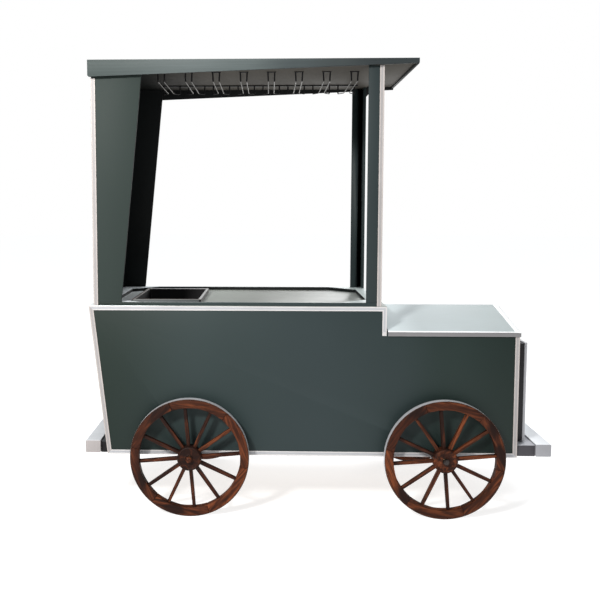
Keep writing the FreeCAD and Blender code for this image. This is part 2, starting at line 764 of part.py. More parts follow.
def door_board(side):
    """One leaf of the pair that closes the storage on the operator's side."""
    x0, x1 = sorted((side * DOOR_GAP / 2, side * (DOOR_OPENING_X[1] - DOOR_GAP)))
    return box(x0, x1, IN + DOOR_SEAT_GAP, OUT,
               DOOR_OPENING_Z[0] + DOOR_GAP, DOOR_OPENING_Z[1] - DOOR_GAP)


def span_x(side, near_offset, far_offset):
    """X range at two signed distances outward from a door's hinge axis."""
    axis_x = door_axis_x(side)
    return sorted((axis_x + side * near_offset, axis_x + side * far_offset))


def door_fixed_hinge(side, z):
    axis_x = door_axis_x(side)
    up = vec(0, 0, 1)
    leaf = box(*span_x(side, DOOR_LEAF_START, DOOR_LEAF_END),
               OUT, OUT + LEAF_SHEET, z, z + HINGE_LENGTH)
    pieces = [leaf]
    for start, end in (knuckle_spans()[0], knuckle_spans()[2]):
        pieces.append(box(*span_x(side, 0.0, DOOR_LEAF_START),
                          OUT, OUT + LEAF_SHEET, z + start, z + end))
        pieces.append(Part.makeCylinder(KNUCKLE_RADIUS, end - start,
                                        vec(axis_x, DOOR_AXIS_Y, z + start), up))
    start = vec(axis_x, DOOR_AXIS_Y, z)
    body = fused(pieces).cut(barrel(start, up, PIN_RADIUS))
    return [body, barrel(start, up, PIN_RADIUS)]


def door_hinges():
    pieces = []
    for side in DOOR_SIDES.values():
        for z in DOOR_HINGE_Z:
            pieces += door_fixed_hinge(side, z)
    return pieces


def door_handle(side):
    """Upright bow handle near the free edge."""
    rise = 28.0
    bar = 10.0
    z0, z1 = 590.0, 730.0
    from_meeting_edge = 34.0
    x = side * from_meeting_edge
    foot_low = box(x - bar / 2, x + bar / 2, OUT, OUT + rise, z0, z0 + bar)
    foot_high = box(x - bar / 2, x + bar / 2, OUT, OUT + rise, z1 - bar, z1)
    grip = box(x - bar / 2, x + bar / 2, OUT + rise - bar, OUT + rise, z0, z1)
    return fused([foot_low, foot_high, grip])


def door_fittings(side):
    """What is screwed to a door: its handle and the moving halves of its hinges."""
    axis_x = door_axis_x(side)
    up = vec(0, 0, 1)
    start, end = knuckle_spans()[1]
    pieces = [door_handle(side)]
    for z in DOOR_HINGE_Z:
        leaf = box(*span_x(side, -DOOR_LEAF_END, -DOOR_LEAF_START),
                   OUT, OUT + LEAF_SHEET, z, z + HINGE_LENGTH)
        bridge = box(*span_x(side, -DOOR_LEAF_START, 0.0),
                     OUT, OUT + LEAF_SHEET, z + start, z + end)
        knuckle = Part.makeCylinder(KNUCKLE_RADIUS, end - start,
                                    vec(axis_x, DOOR_AXIS_Y, z + start), up)
        bore = barrel(vec(axis_x, DOOR_AXIS_Y, z), up, PIN_RADIUS + RUNNING_GAP)
        pieces.append(fused([leaf, bridge, knuckle]).cut(bore))
    return pieces


# ---------------------------------------------------------------- wheels
TYRE_SHEET = 3.0
TYRE_WIDTH = 36.0
FELLOE_WIDTH = 40.0
FELLOE_OUTER = WHEEL_RADIUS - TYRE_SHEET
FELLOE_INNER = 232.0
HUB_RADIUS = 55.0
BUSH_RADIUS = 14.0
SPOKE_WIDTH = 15.0
SPOKE_DEPTH = 22.0
SPOKE_ROOT = 41.0             # a spoke's ends sit in mortises in the hub and the rim
SPOKE_TIP = 240.0


def on_wheel(radius, turn):
    """Point in a near wheel's mid plane, turn degrees clockwise from the top."""
    angle = math.radians(turn)
    return vec(radius * math.sin(angle), -WHEEL_MID_Y, radius * math.cos(angle))


def wheel_spoke(turn):
    """Square-section bar; drawn upright, then turned into place."""
    upright = box(-SPOKE_WIDTH / 2, SPOKE_WIDTH / 2, -WHEEL_MID_Y - SPOKE_DEPTH / 2,
                  -WHEEL_MID_Y + SPOKE_DEPTH / 2, SPOKE_ROOT, SPOKE_TIP)
    upright.rotate(vec(0, 0, 0), vec(0, 1, 0), turn)
    return upright


def ring_sector(inner, outer, turn0, turn1, width):
    """Part of a flat ring about the wheel's axis, centred on its mid plane."""
    middle = (turn0 + turn1) / 2
    edges = [
        Part.Arc(on_wheel(outer, turn0), on_wheel(outer, middle), on_wheel(outer, turn1)).toShape(),
        Part.LineSegment(on_wheel(outer, turn1), on_wheel(inner, turn1)).toShape(),
        Part.Arc(on_wheel(inner, turn1), on_wheel(inner, middle), on_wheel(inner, turn0)).toShape(),
        Part.LineSegment(on_wheel(inner, turn0), on_wheel(outer, turn0)).toShape(),
    ]
    face = Part.Face(Part.Wire(edges))
    sector = face.extrude(vec(0, width, 0))
    sector.translate(vec(0, -width / 2, 0))
    return sector


def tube_y(inner, outer, y0, y1):
    solid = rod(vec(0, y0, 0), vec(0, y1, 0), outer)
    return solid.cut(rod(vec(0, y0, 0), vec(0, y1, 0), inner))


def wheel_pieces():
    """The pieces of one near wheel about the origin's Y axis, by name."""
    spokes = [wheel_spoke(SPOKE_PHASE + 360.0 / SPOKES * k) for k in range(SPOKES)]
    arc = 360.0 / FELLOES
    first = SPOKE_PHASE - 360.0 / SPOKES / 2
    felloes = [ring_sector(FELLOE_INNER, FELLOE_OUTER, first + arc * k, first + arc * (k + 1), FELLOE_WIDTH)
               for k in range(FELLOES)]
    hub = tube_y(BUSH_RADIUS, HUB_RADIUS, -HUB_Y[1], -HUB_Y[0])
    tyre_half = TYRE_WIDTH / 2
    return {
        "tyre": [tube_y(FELLOE_OUTER, WHEEL_RADIUS, -WHEEL_MID_Y - tyre_half, -WHEEL_MID_Y + tyre_half)],
        "felloes": [cut_all(felloe, spokes) for felloe in felloes],
        "spokes": spokes,
        "hub": [cut_all(hub, spokes)],
        "bush": [tube_y(AXLE_RADIUS + RUNNING_GAP, BUSH_RADIUS, -HUB_Y[1], -HUB_Y[0])],
    }


def save_wheels():
    for end, x in WHEEL_X.items():
        for piece, solids in wheel_pieces().items():
            placed = [solid.translated(vec(x, 0, WHEEL_RADIUS)) for solid in solids]
            save("wheel_" + end + "_near_" + piece, placed)
            save("wheel_" + end + "_far_" + piece, [mirrored(solid) for solid in placed])


# ---------------------------------------------------------------- the whole cart
os.makedirs("parts", exist_ok=True)

save("chassis_frame", chassis_frame())
save("axle_rear", [axle(WHEEL_X["rear"])])
save("axle_front", [axle(WHEEL_X["front"])])
save("axle_fasteners", axle_fasteners())
save("bumper_rear", bumper(-BUMPER_IN, -CART_LENGTH / 2))
save("bumper_front", bumper(BUMPER_IN, CART_LENGTH / 2))
save("deck_plates", deck_plates())

save("side_board_near", [side_board()])
save("side_board_far", [far_side_board()])
save("rear_board", [rear_board()])
save("front_board", [front_board()])
save("step_board", [step_board()])
save("floor_board", [floor_board()])
save("batten_frame", batten_frame())
save("storage_shelf", [shelf()])
save("cabinet_edge_trims", cabinet_trims())

save("worktop", [worktop()])
save("worktop_sills", worktop_sills())
save("worktop_corner_plates", corner_plates())
save("waste_bin", [waste_bin()])

save("cab_wing_near", [wing()])
save("cab_wing_far", [mirrored(wing())])
save("cab_rear_board", [cab_rear_board()])
save("cab_post_near", post())
save("cab_post_far", [mirrored(piece) for piece in post()])
save("cab_edge_trims", cab_trims())
save("roof_board", [roof_board()])
save("roof_fascias", fascias())
save("ceiling_board", [ceiling_board()])
save("rack_brackets", rack_brackets())
save("rack_rails", rack_rails())

save("hood_lid", hood_lid())
save("hood_hinges", hood_hinges())
save("grille_frame", grille_frame())
save("grille_core", grille_core())

for name, side in DOOR_SIDES.items():
    save("door_" + name, [door_board(side)])
    save("door_" + name + "_fittings", door_fittings(side))
save("door_hinges", door_hinges())

save_wheels()
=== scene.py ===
import json
import math
import random

import bmesh
import bpy
from mathutils import Matrix, Vector


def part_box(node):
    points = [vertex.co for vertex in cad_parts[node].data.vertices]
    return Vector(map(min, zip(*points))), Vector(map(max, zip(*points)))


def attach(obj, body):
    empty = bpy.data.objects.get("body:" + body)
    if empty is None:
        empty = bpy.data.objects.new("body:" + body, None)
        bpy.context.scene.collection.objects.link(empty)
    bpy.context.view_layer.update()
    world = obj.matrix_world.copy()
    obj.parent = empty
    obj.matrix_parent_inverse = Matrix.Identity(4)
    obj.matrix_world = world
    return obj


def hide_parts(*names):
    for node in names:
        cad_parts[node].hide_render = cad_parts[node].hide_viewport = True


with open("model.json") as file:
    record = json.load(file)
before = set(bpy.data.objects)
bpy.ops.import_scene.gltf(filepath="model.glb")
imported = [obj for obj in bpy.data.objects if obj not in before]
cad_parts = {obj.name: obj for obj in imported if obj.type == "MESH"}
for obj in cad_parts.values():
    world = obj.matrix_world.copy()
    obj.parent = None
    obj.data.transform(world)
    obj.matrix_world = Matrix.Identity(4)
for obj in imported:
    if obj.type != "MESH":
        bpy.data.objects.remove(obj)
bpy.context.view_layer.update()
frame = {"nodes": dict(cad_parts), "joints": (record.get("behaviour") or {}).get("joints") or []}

# The visible model of the cart, in metres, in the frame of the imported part: +X to the hood,
# -Y to the customer ("near"), +Z up.  Every piece rides on a CAD body, and most stand for a node.

SIDES = {"near": -1.0, "far": 1.0}
ENDS = {"rear": -1.0, "front": 1.0}
LENGTHWISE, CROSSWISE, UP = Vector((1, 0, 0)), Vector((0, 1, 0)), Vector((0, 0, 1))

# ---- places read from the frame
SHEET = 0.002                                   # aluminium angle and stainless sheet
BOARD = 0.012
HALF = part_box("cabinet_edge_trims")[1].y        # half the width over the trims
OUT = HALF - SHEET                              # outer face of the side boards
IN = OUT - BOARD
COUNTER_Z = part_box("worktop")[0].z
CABINET_REAR_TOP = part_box("worktop")[0].x
STEP_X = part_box("worktop")[1].x
CABINET_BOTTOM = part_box("cabinet_edge_trims")[0].z
CABINET_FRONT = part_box("cabinet_edge_trims")[1].x
CABINET_REAR_BOTTOM = -0.967
CAB_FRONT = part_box("cab_edge_trims")[1].x
WHEEL_AT = {j["child"]: Vector(j["pos_m"]) for j in frame["joints"] if j.get("continuous")}


# ---- shader helpers
COLOR_A, COLOR_B, MIXED_COLOR = 6, 7, 2         # the Mix node's colour sockets share names with others
materials = {}


class Shader:
    """A node material whose helpers return output sockets."""

    def __init__(self, name, color, roughness, metallic=0.0, specular=0.5):
        self.material = materials[name] = bpy.data.materials.new(name)
        self.material.use_nodes = True
        self.tree = self.material.node_tree
        self.surface = self.tree.nodes["Principled BSDF"]
        self.fill(self.surface, {"Base Color": (*color, 1.0), "Roughness": roughness,
                                 "Metallic": metallic, "Specular IOR Level": specular})

    def fill(self, node, inputs):
        """Connects sockets to a node's inputs and sets the plain values."""
        for key, value in inputs.items():
            if isinstance(value, bpy.types.NodeSocket):
                self.tree.links.new(value, node.inputs[key])
            else:
                node.inputs[key].default_value = value

    def node(self, kind, inputs, **settings):
        made = self.tree.nodes.new("ShaderNode" + kind)
        for key, value in settings.items():
            setattr(made, key, value)
        self.fill(made, inputs)
        return made

    def stored(self, name):
        """A float attribute of the mesh."""
        return self.node("Attribute", {}, attribute_name=name).outputs["Fac"]

    def noise(self, scale, detail=3.0, rough=0.55, distortion=0.0, stretch=(1.0, 1.0, 1.0), grain=False):
        """Noise on the object's coordinates, or on the grain coordinates stored in the wood."""
        if grain:
            coords = self.node("Attribute", {}, attribute_name="grain").outputs["Vector"]
        else:
            coords = self.node("TexCoord", {}).outputs["Object"]
        place = self.node("Mapping", {"Scale": stretch, "Vector": coords}).outputs["Vector"]
        return self.node("TexNoise", {"Vector": place, "Scale": scale, "Detail": detail,
                                      "Roughness": rough, "Distortion": distortion}).outputs["Fac"]

    def spread(self, value, low, high, to_low=0.0, to_high=1.0):
        """Maps a range of a value to another range, clamped."""
        return self.node("MapRange", {"Value": value, "From Min": low, "From Max": high,
                                      "To Min": to_low, "To Max": to_high}).outputs["Result"]

    def math(self, operation, a, b, clamp=False):
        return self.node("Math", {0: a, 1: b}, operation=operation, use_clamp=clamp).outputs["Value"]

    def mix(self, share, first, second, kind="MIX"):
        """Colour between two colours, by a 0 to 1 share."""
        first, second = [(*c, 1.0) if isinstance(c, tuple) else c for c in (first, second)]
        inputs = {"Factor": share, COLOR_A: first, COLOR_B: second}
        return self.node("Mix", inputs, data_type="RGBA", blend_type=kind).outputs[MIXED_COLOR]

    def painted_light_along_x(self, color, stops):
        """Painted light and shade: a colour times another that changes along the object; stops are
        (metres in x, colour).
        """
        coords = self.node("TexCoord", {}).outputs["Object"]
        x = self.node("SeparateXYZ", {"Vector": coords}).outputs["X"]
        low, high = stops[0][0], stops[-1][0]
        ramp = self.node("ValToRGB", {"Fac": self.spread(x, low, high)})
        ramp.color_ramp.interpolation = "EASE"
        elements = ramp.color_ramp.elements
        while len(elements) < len(stops):
            elements.new(0.5)
        for element, (metres, _) in zip(elements, stops):
            element.position = (metres - low) / (high - low)
        for element, (_, factor) in zip(elements, stops):
            element.color = (*factor, 1.0)
        return self.mix(1.0, color, ramp.outputs["Color"], "MULTIPLY")

    def finish(self, color, rough, height, distance, strength):
        """Connects colour, roughness and bump."""
        bump = self.node("Bump", {"Height": height, "Distance": distance, "Strength": strength})
        normal = bump.outputs["Normal"]
        self.fill(self.surface, {"Base Color": color, "Roughness": rough, "Normal": normal})


def tinted(color, factor):
    return tuple(min(1.0, c * factor) for c in color)


# ---- materials
def paint(name, color, variation=0.1, roughness=0.5, streaks=0.0, specular=0.22, along=None):
    """Satin paint on board: slow colour drift, faint brush streaks, dust and orange peel."""
    made = Shader(name, color, roughness, specular=specular)
    drift = made.noise(1.4, 2.0, stretch=(1.0, 1.0, 0.7))
    fine = made.noise(160.0)
    peel = made.noise(420.0, 2.0)
    dark, light = tinted(color, 1.0 - variation), tinted(color, 1.0 + variation)
    body = made.mix(made.spread(drift, 0.3, 0.7), dark, light)
    body = made.mix(made.spread(fine, 0.58, 0.85, 0.0, 0.1), body, tinted(color, 1.7))
    if streaks:
        lines = made.noise(2.2, 5.0, 0.65, stretch=(1.2, 1.2, 60.0))
        body = made.mix(made.spread(lines, 0.42, 0.72, 0.0, streaks), body, tinted(color, 1.5))
    # Stops along x multiply in painted light and shade.
    if along:
        body = made.painted_light_along_x(body, along)
    level = made.spread(fine, 0.3, 0.7, roughness - 0.03, roughness + 0.04)
    made.finish(body, level, peel, 0.0002, 0.25)


def brushed(name, color, roughness, stretch=(1.5, 120.0, 120.0), grime=0.1):
    """Metal with fine parallel brush marks; stretch gives their direction."""
    made = Shader(name, color, roughness, metallic=1.0)
    marks = made.noise(3.0, 6.0, 0.7, stretch=stretch)
    clouds = made.noise(5.0)
    tone = made.mix(made.spread(marks, 0.3, 0.7), tinted(color, 0.93), tinted(color, 1.05))
    tone = made.mix(made.spread(clouds, 0.45, 0.8, 0.0, grime), tone, tinted(color, 0.55))
    level = made.spread(clouds, 0.3, 0.7, roughness - 0.04, roughness + 0.06)
    level = made.math("ADD", made.spread(marks, 0.3, 0.7, -0.05, 0.07), level)
    made.finish(tone, level, marks, 0.00012, 0.35)


def satin_metal(name, color, roughness, metallic=0.25, brush=None, along=None):
    """Satin aluminium or stainless under soft light: clouded, finely grained, a few marks."""
    made = Shader(name, color, roughness, metallic=metallic, specular=0.35)
    clouds = made.noise(7.0, 4.0)
    tone = made.mix(made.spread(clouds, 0.35, 0.7), tinted(color, 0.95), tinted(color, 1.04))
    specks = made.spread(made.noise(140.0), 0.68, 0.82, 0.0, 0.22)
    tone = made.mix(specks, tone, tinted(color, 0.62))
    grain = made.noise(3.0 if brush else 900.0, 5.0, 0.7, stretch=brush or (1.0, 1.0, 1.0))
    if brush:
        tone = made.mix(made.spread(grain, 0.35, 0.65, 0.0, 0.5), tone, tinted(color, 0.86))
    # Stops along x multiply in painted light and shade.
    if along:
        tone = made.painted_light_along_x(tone, along)
    level = made.spread(clouds, 0.3, 0.7, roughness - 0.04, roughness + 0.06)
    made.finish(tone, level, grain, 0.0001, 0.3)


def stained_wood(name):
    """Red-brown stained wood with scorched patches and painted shade; the grain follows the stored
    coordinates.
    """
    dark, mid, light = (0.009, 0.0034, 0.0024), (0.047, 0.0128, 0.0057), (0.165, 0.045, 0.016)
    made = Shader(name, mid, 0.5, specular=0.11)
    fibres = made.noise(1.0, 7.0, 0.62, 0.6, (9.0, 95.0, 95.0), True)
    rings = made.noise(1.0, 4.0, 0.5, 1.2, (2.2, 26.0, 26.0), True)
    tone = made.math("MULTIPLY", made.stored("tone"), 0.45)
    lit = made.math("ADD", made.spread(rings, 0.36, 0.66), tone, clamp=True)
    body = made.mix(lit, mid, light)
    body = made.mix(made.spread(fibres, 0.42, 0.62, 0.85, 0.0), body, tinted(mid, 0.38))
    patches = made.noise(1.0, 4.0, 0.6, 0.8, (8.0, 40.0, 40.0), True)
    burnt_and_shaded = made.math("ADD", made.spread(patches, 0.4, 0.68, -0.35, 0.75), made.stored("scorch_and_shade"))
    body = made.mix(made.spread(burnt_and_shaded, 0.25, 0.95, 0.0, 0.88), body, dark)
    made.finish(body, made.spread(fibres, 0.3, 0.7, 0.4, 0.66), fibres, 0.0012, 0.5)


def plywood(name):
    color = (0.42, 0.27, 0.14)
    made = Shader(name, color, 0.7, specular=0.3)
    fibres = made.noise(1.4, 6.0, distortion=0.8, stretch=(3.0, 60.0, 60.0))
    figure = made.noise(1.6, distortion=1.5, stretch=(1.0, 9.0, 9.0))
    body = made.mix(made.spread(figure, 0.35, 0.65), tinted(color, 0.8), tinted(color, 1.15))
    body = made.mix(made.spread(fibres, 0.45, 0.65, 0.0, 0.5), body, tinted(color, 0.62))
    made.finish(body, made.spread(fibres, 0.3, 0.7, 0.62, 0.8), fibres, 0.0004, 0.4)


GREEN = (0.0205, 0.03, 0.031)
FINE_GRAIN = (60.0, 60.0, 60.0)

# Painted light and shade along the cart, multiplied into a colour: (metres in x, factors).
# Side boards: painted light in the middle, painted shade towards both ends.
PANEL_PAINTED_LIGHT = [(-1.0, (0.38, 0.53, 0.4)), (-0.5, (0.84, 0.95, 0.92)), (0.0, (0.95, 1.0, 1.02)),
               (0.35, (0.86, 0.93, 0.92)), (0.6, (0.58, 0.72, 0.62)), (0.92, (0.38, 0.52, 0.42))]
# Fascia: a painted reflection towards the rear, painted shade towards the front.
FASCIA_PAINTED_LIGHT = [(-1.03, (0.6, 0.64, 0.62)), (-0.55, (1.0, 1.0, 1.0)), (-0.35, (0.92, 0.93, 0.93)),
                (-0.1, (0.55, 0.57, 0.59)), (0.08, (0.44, 0.45, 0.46)), (0.25, (0.3, 0.31, 0.33))]
# Ceiling: painted shade beside the rear wings, lit further forward.
CEILING_PAINTED_SHADE = [(-0.86, (0.16, 0.19, 0.2)), (-0.68, (0.55, 0.56, 0.56)), (-0.5, (0.94, 0.93, 0.9)),
                 (0.15, (0.88, 0.87, 0.84))]
# Hood: painted light at its rear end, painted shade towards the front.
HOOD_PAINTED_LIGHT = [(0.32, (1.13, 1.13, 1.13)), (0.5, (0.81, 0.81, 0.81)), (0.92, (0.735, 0.74, 0.73))]
# Counter: painted light at the rear corner, painted shade through the middle.
COUNTER_PAINTED_LIGHT = [(-0.88, (1.0, 1.0, 1.0)), (-0.62, (0.42, 0.42, 0.39)), (-0.46, (0.39, 0.4, 0.36)),
                 (-0.24, (0.26, 0.262, 0.235)), (-0.09, (0.175, 0.179, 0.157)),
                 (0.04, (0.185, 0.188, 0.172)), (0.15, (0.221, 0.228, 0.211)),
                 (0.28, (0.25, 0.26, 0.24))]
# Corner plates and sill tops: painted light at the rear, painted shade further forward.
PLATE_PAINTED_LIGHT = [(-0.9, (1.0, 1.0, 1.0)), (-0.55, (0.55, 0.57, 0.55)), (0.28, (0.5, 0.53, 0.51))]
# Bumpers: painted light, lighter at the rear and cooler at the front.
BUMPER_PAINTED_LIGHT = [(-1.0, (1.12, 1.05, 1.02)), (1.0, (0.93, 0.95, 1.0))]
# Deck plates: painted shade at the rear.
DECK_PAINTED_SHADE = [(-0.95, (0.09, 0.1, 0.105)), (0.9, (1.15, 1.14, 1.14))]
# Chassis: painted shade at the rear.
RAIL_PAINTED_SHADE = [(-0.98, (0.12, 0.12, 0.12)), (-0.6, (0.2, 0.2, 0.2)), (0.6, (1.0, 1.0, 1.0))]

paint("green", GREEN)
paint("green_side", GREEN, 0.05, along=PANEL_PAINTED_LIGHT)
paint("green_post", (0.017, 0.025, 0.0262), 0.1, 0.55, specular=0.18)
paint("green_wing", (0.0218, 0.0312, 0.028), 0.08, 0.58, specular=0.16)
paint("green_fascia", (0.0735, 0.088, 0.088), 0.05, 0.55, 0.4, 0.15, FASCIA_PAINTED_LIGHT)
# Near black for the faces inside the cab: painted shade.
paint("green_inside", (0.0105, 0.0122, 0.0126), 0.2, 0.6, specular=0.12)
# Near black for the fascia's inner faces and underside and for the edges of the corner plates and sills:
# painted shade.
paint("green_edge", (0.006, 0.0072, 0.0074), 0.2, 0.6, specular=0.12)
paint("roof", (0.028, 0.038, 0.037), 0.1, 0.5, streaks=0.25)
paint("ceiling", (0.066, 0.06, 0.052), 0.1, 0.7, specular=0.1, along=CEILING_PAINTED_SHADE)
paint("black", (0.006, 0.006, 0.007), 0.2, 0.45, specular=0.2)
paint("dark_steel", (0.048, 0.046, 0.052), 0.1, 0.5, along=RAIL_PAINTED_SHADE)
paint("grille_dark", (0.019, 0.018, 0.02), 0.15, 0.5)
satin_metal("trim", (0.52, 0.505, 0.505), 0.45)
satin_metal("trim_groove", (0.37, 0.375, 0.395), 0.5)
satin_metal("trim_cab", (0.41, 0.375, 0.36), 0.5)
satin_metal("trim_cab_groove", (0.3, 0.285, 0.285), 0.5)
satin_metal("bumper", (0.3, 0.295, 0.3), 0.45, along=BUMPER_PAINTED_LIGHT)
# A lighter copy of the bumper metal for the top faces: painted light.
satin_metal("bumper_top", (0.74, 0.765, 0.8), 0.42)
satin_metal("deck", (0.36, 0.37, 0.4), 0.45, along=DECK_PAINTED_SHADE)
satin_metal("grille", (0.42, 0.42, 0.44), 0.42)
satin_metal("hood", (0.447, 0.5, 0.515), 0.55, 0.3, (2.0, 140.0, 140.0), HOOD_PAINTED_LIGHT)
# A darker copy of the hood metal for the side lips: painted shade.
satin_metal("hood_lip", (0.2, 0.195, 0.2), 0.4, 0.4, (2.0, 140.0, 140.0))
# A brighter copy for the folds and the hem's top: painted highlight.
satin_metal("hood_fold", (0.8, 0.81, 0.82), 0.3, 0.3)
satin_metal("counter", (0.9, 0.95, 0.96), 0.38, 0.3, (2.0, 120.0, 120.0), COUNTER_PAINTED_LIGHT)
satin_metal("corner_plate", (0.86, 0.92, 0.95), 0.4, 0.1, along=PLATE_PAINTED_LIGHT)
# Darker copies of the bin metal for the rim's rear and near strips, the flank and the near faces, and
# near black for the inside: painted shade.
satin_metal("bin", (0.52, 0.52, 0.52), 0.34, 0.4)
satin_metal("bin_dull", (0.24, 0.215, 0.2), 0.45, 0.3)
satin_metal("bin_flank", (0.035, 0.027, 0.023), 0.45, 0.2)
satin_metal("bin_near", (0.055, 0.062, 0.064), 0.45, 0.2)
paint("bin_dark", (0.005, 0.0042, 0.0055), 0.2, 0.5, specular=0.15)
brushed("hinge", (0.6, 0.6, 0.61), 0.34, FINE_GRAIN)
brushed("zinc", (0.55, 0.56, 0.58), 0.32, FINE_GRAIN)
# Dark nut and axle steel: painted shade standing in for the shaded recess round each axle end.
brushed("nut", (0.045, 0.036, 0.032), 0.42, FINE_GRAIN)
brushed("axle", (0.06, 0.052, 0.05), 0.34, (60.0, 4.0, 60.0), grime=0.4)
satin_metal("tyre", (0.54, 0.54, 0.57), 0.4, 0.4)
brushed("tyre_edge", (0.075, 0.045, 0.035), 0.55, (40.0, 40.0, 40.0), grime=0.4)
brushed("rail", (0.1, 0.093, 0.083), 0.42, (60.0, 1.0, 60.0))
brushed("bronze", (0.55, 0.38, 0.16), 0.35, FINE_GRAIN)
stained_wood("wood")
plywood("ply")


# ---- mesh helpers
def add_object(name, data):
    made = bpy.data.objects.new(name, data)
    bpy.context.scene.collection.objects.link(made)
    return made


def place_object(name, bm, finishes, body, nodes=(), smooth=35.0):
    """Turns a bmesh into a piece: materials, the body it rides on and the nodes it stands for."""
    bmesh.ops.recalc_face_normals(bm, faces=bm.faces)
    mesh = bpy.data.meshes.new(name)
    bm.to_mesh(mesh)
    bm.free()
    piece = add_object(name, mesh)
    for key in finishes.split():
        mesh.materials.append(materials[key])
    mesh.shade_smooth()
    mesh.set_sharp_from_angle(angle=math.radians(smooth))
    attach(piece, body)
    if nodes:
        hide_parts(*nodes)


def loft(bm, rings, closed=False):
    """Joins rings of points, each with the same count, into a closed loop or between two caps."""
    made = [[bm.verts.new(point) for point in ring] for ring in rings]
    count = len(made[0])
    pairs = list(zip(made, made[1:])) + ([(made[-1], made[0])] if closed else [])
    for first, second in pairs:
        for k in range(count):
            following = (k + 1) % count
            bm.faces.new((first[k], first[following], second[following], second[k]))
    if not closed:
        bm.faces.new(made[0])
        bm.faces.new(made[-1])
    return made


def rounded_rectangle(half_a, half_b, radius, steps=3):
    """Outline of a rectangle with round corners, anticlockwise, as (a, b) pairs."""
    points = []
    for quarter, (sign_a, sign_b) in enumerate(((1, 1), (-1, 1), (-1, -1), (1, -1))):
        for k in range(steps + 1):
            angle = math.radians(90.0 * quarter + 90.0 * k / steps)
            points.append((sign_a * (half_a - radius) + radius * math.cos(angle),
                           sign_b * (half_b - radius) + radius * math.sin(angle)))
    return points


def bar(bm, start, end, half_a, half_b, side, radius, ease=0.0008):
    """Straight bar between two points; side is the direction of its first half width."""
    start, end = Vector(start), Vector(end)
    along = (end - start).normalized()
    first = (side - along * side.dot(along)).normalized()
    second = along.cross(first)
    stations = ((start, ease), (start + along * ease, 0.0), (end - along * ease, 0.0), (end, ease))
    rings = []
    for centre, shrink in stations:
        outline = rounded_rectangle(half_a - shrink, half_b - shrink, radius)
        rings.append([centre + first * a + second * b for a, b in outline])
    return loft(bm, rings)


def round_path(points, radius, steps=6):
    """The points of a polyline with each inner corner replaced by an arc."""
    points = [Vector(point) for point in points]
    path = [points[0]]
    for before, corner, after in zip(points, points[1:], points[2:]):
        into, out = (before - corner).normalized(), (after - corner).normalized()
        half = into.angle(out) / 2
        shorter = min((before - corner).length, (after - corner).length)
        reach = min(radius / math.tan(half), 0.49 * shorter)
        true_radius = reach * math.tan(half)
        centre = corner + (into + out).normalized() * (true_radius / math.sin(half))
        first, last = corner + into * reach - centre, corner + out * reach - centre
        for k in range(steps + 1):
            path.append(centre + first.slerp(last, k / steps).normalized() * first.length)
    return path + [points[-1]]


def wire(bm, path, radius, sides=10):
    """Round bar that follows a path of points."""
    rings = []
    across = None
    for k, point in enumerate(path):
        along = (path[min(k + 1, len(path) - 1)] - path[max(k - 1, 0)]).normalized()
        if across is None:
            across = along.orthogonal().normalized()
        across = (across - along * across.dot(along)).normalized()
        second = along.cross(across)
        turns = [2 * math.pi * n / sides for n in range(sides)]
        rings.append([point + (across * math.cos(t) + second * math.sin(t)) * radius for t in turns])
    return loft(bm, rings)


def lathe(bm, centre, axis, profile, steps=64):
    """Turned form: the profile is a list of (radius, distance along the axis)."""
    centre = Vector(centre)
    across = axis.orthogonal().normalized()
    second = axis.cross(across)
    rings = []
    for k in range(steps):
        turn = 2 * math.pi * k / steps
        out = across * math.cos(turn) + second * math.sin(turn)
        rings.append([centre + out * r + axis * d for r, d in profile])
    return loft(bm, rings, closed=True)


def mirrored(pairs, length):
    """Half a profile and its mirror image, over a length in its second measure."""
    return pairs + [(first, length - second) for first, second in reversed(pairs)]


def screw(bm, centre, out, radius=0.0032):
    """Low domed screw head, standing on a surface."""
    rise = radius * 0.35
    profile = [(0.0002, -0.0003), (radius, -0.0003), (radius, rise * 0.4), (radius * 0.7, rise * 0.85),
               (radius * 0.36, rise), (radius * 0.3, rise * 0.35), (0.0002, rise * 0.3)]
    lathe(bm, centre, out, profile, 16)


def round_edges(bm, least, width, segments, clamp=False):
    """Rounds every edge whose faces turn by more than an angle in degrees."""
    sharp = [edge for edge in bm.edges
             if len(edge.link_faces) == 2 and edge.calc_face_angle(0.0) > math.radians(least)]
    bmesh.ops.bevel(bm, geom=sharp, offset=width, segments=segments, profile=0.5, affect="EDGES",
                    clamp_overlap=clamp)


def eased(node, finishes, body="cart", width=0.0009, choose=None):
    """A copy of a CAD node with every hard edge eased by a small round."""
    bm = bmesh.new()
    bm.from_mesh(frame["nodes"][node].data)
    bmesh.ops.remove_doubles(bm, verts=bm.verts, dist=0.00002)
    bmesh.ops.dissolve_limit(bm, angle_limit=math.radians(0.6), verts=bm.verts, edges=bm.edges)
    round_edges(bm, 28.0, width, 2, True)
    bm.normal_update()
    for face in bm.faces:
        face.material_index = choose(face) if choose else 0
    place_object(node + "_eased", bm, finishes, body, (node,))


# ---- boards
def inward_cab(face):
    """1 for a face that looks into the cab, 0 for one that looks out; inward faces take near black
    painted shade.
    """
    middle = face.calc_center_median()
    to_middle = Vector((-0.35 - middle.x, -middle.y, 0.0)).normalized()
    return int(face.normal.dot(to_middle) > 0.45)


def inward_fascia(face):
    """1 for the inner faces of the fascia frame and for its underside, which take near black painted
    shade.
    """
    middle, normal = face.calc_center_median(), face.normal
    across = abs(normal.y) > 0.5 and normal.y * middle.y < -0.05
    along = abs(normal.x) > 0.5 and normal.x * (middle.x + 0.3) < 0
    return int(across or along or normal.z < -0.5)


def under_face(face):
    return int(face.normal.z < -0.7)


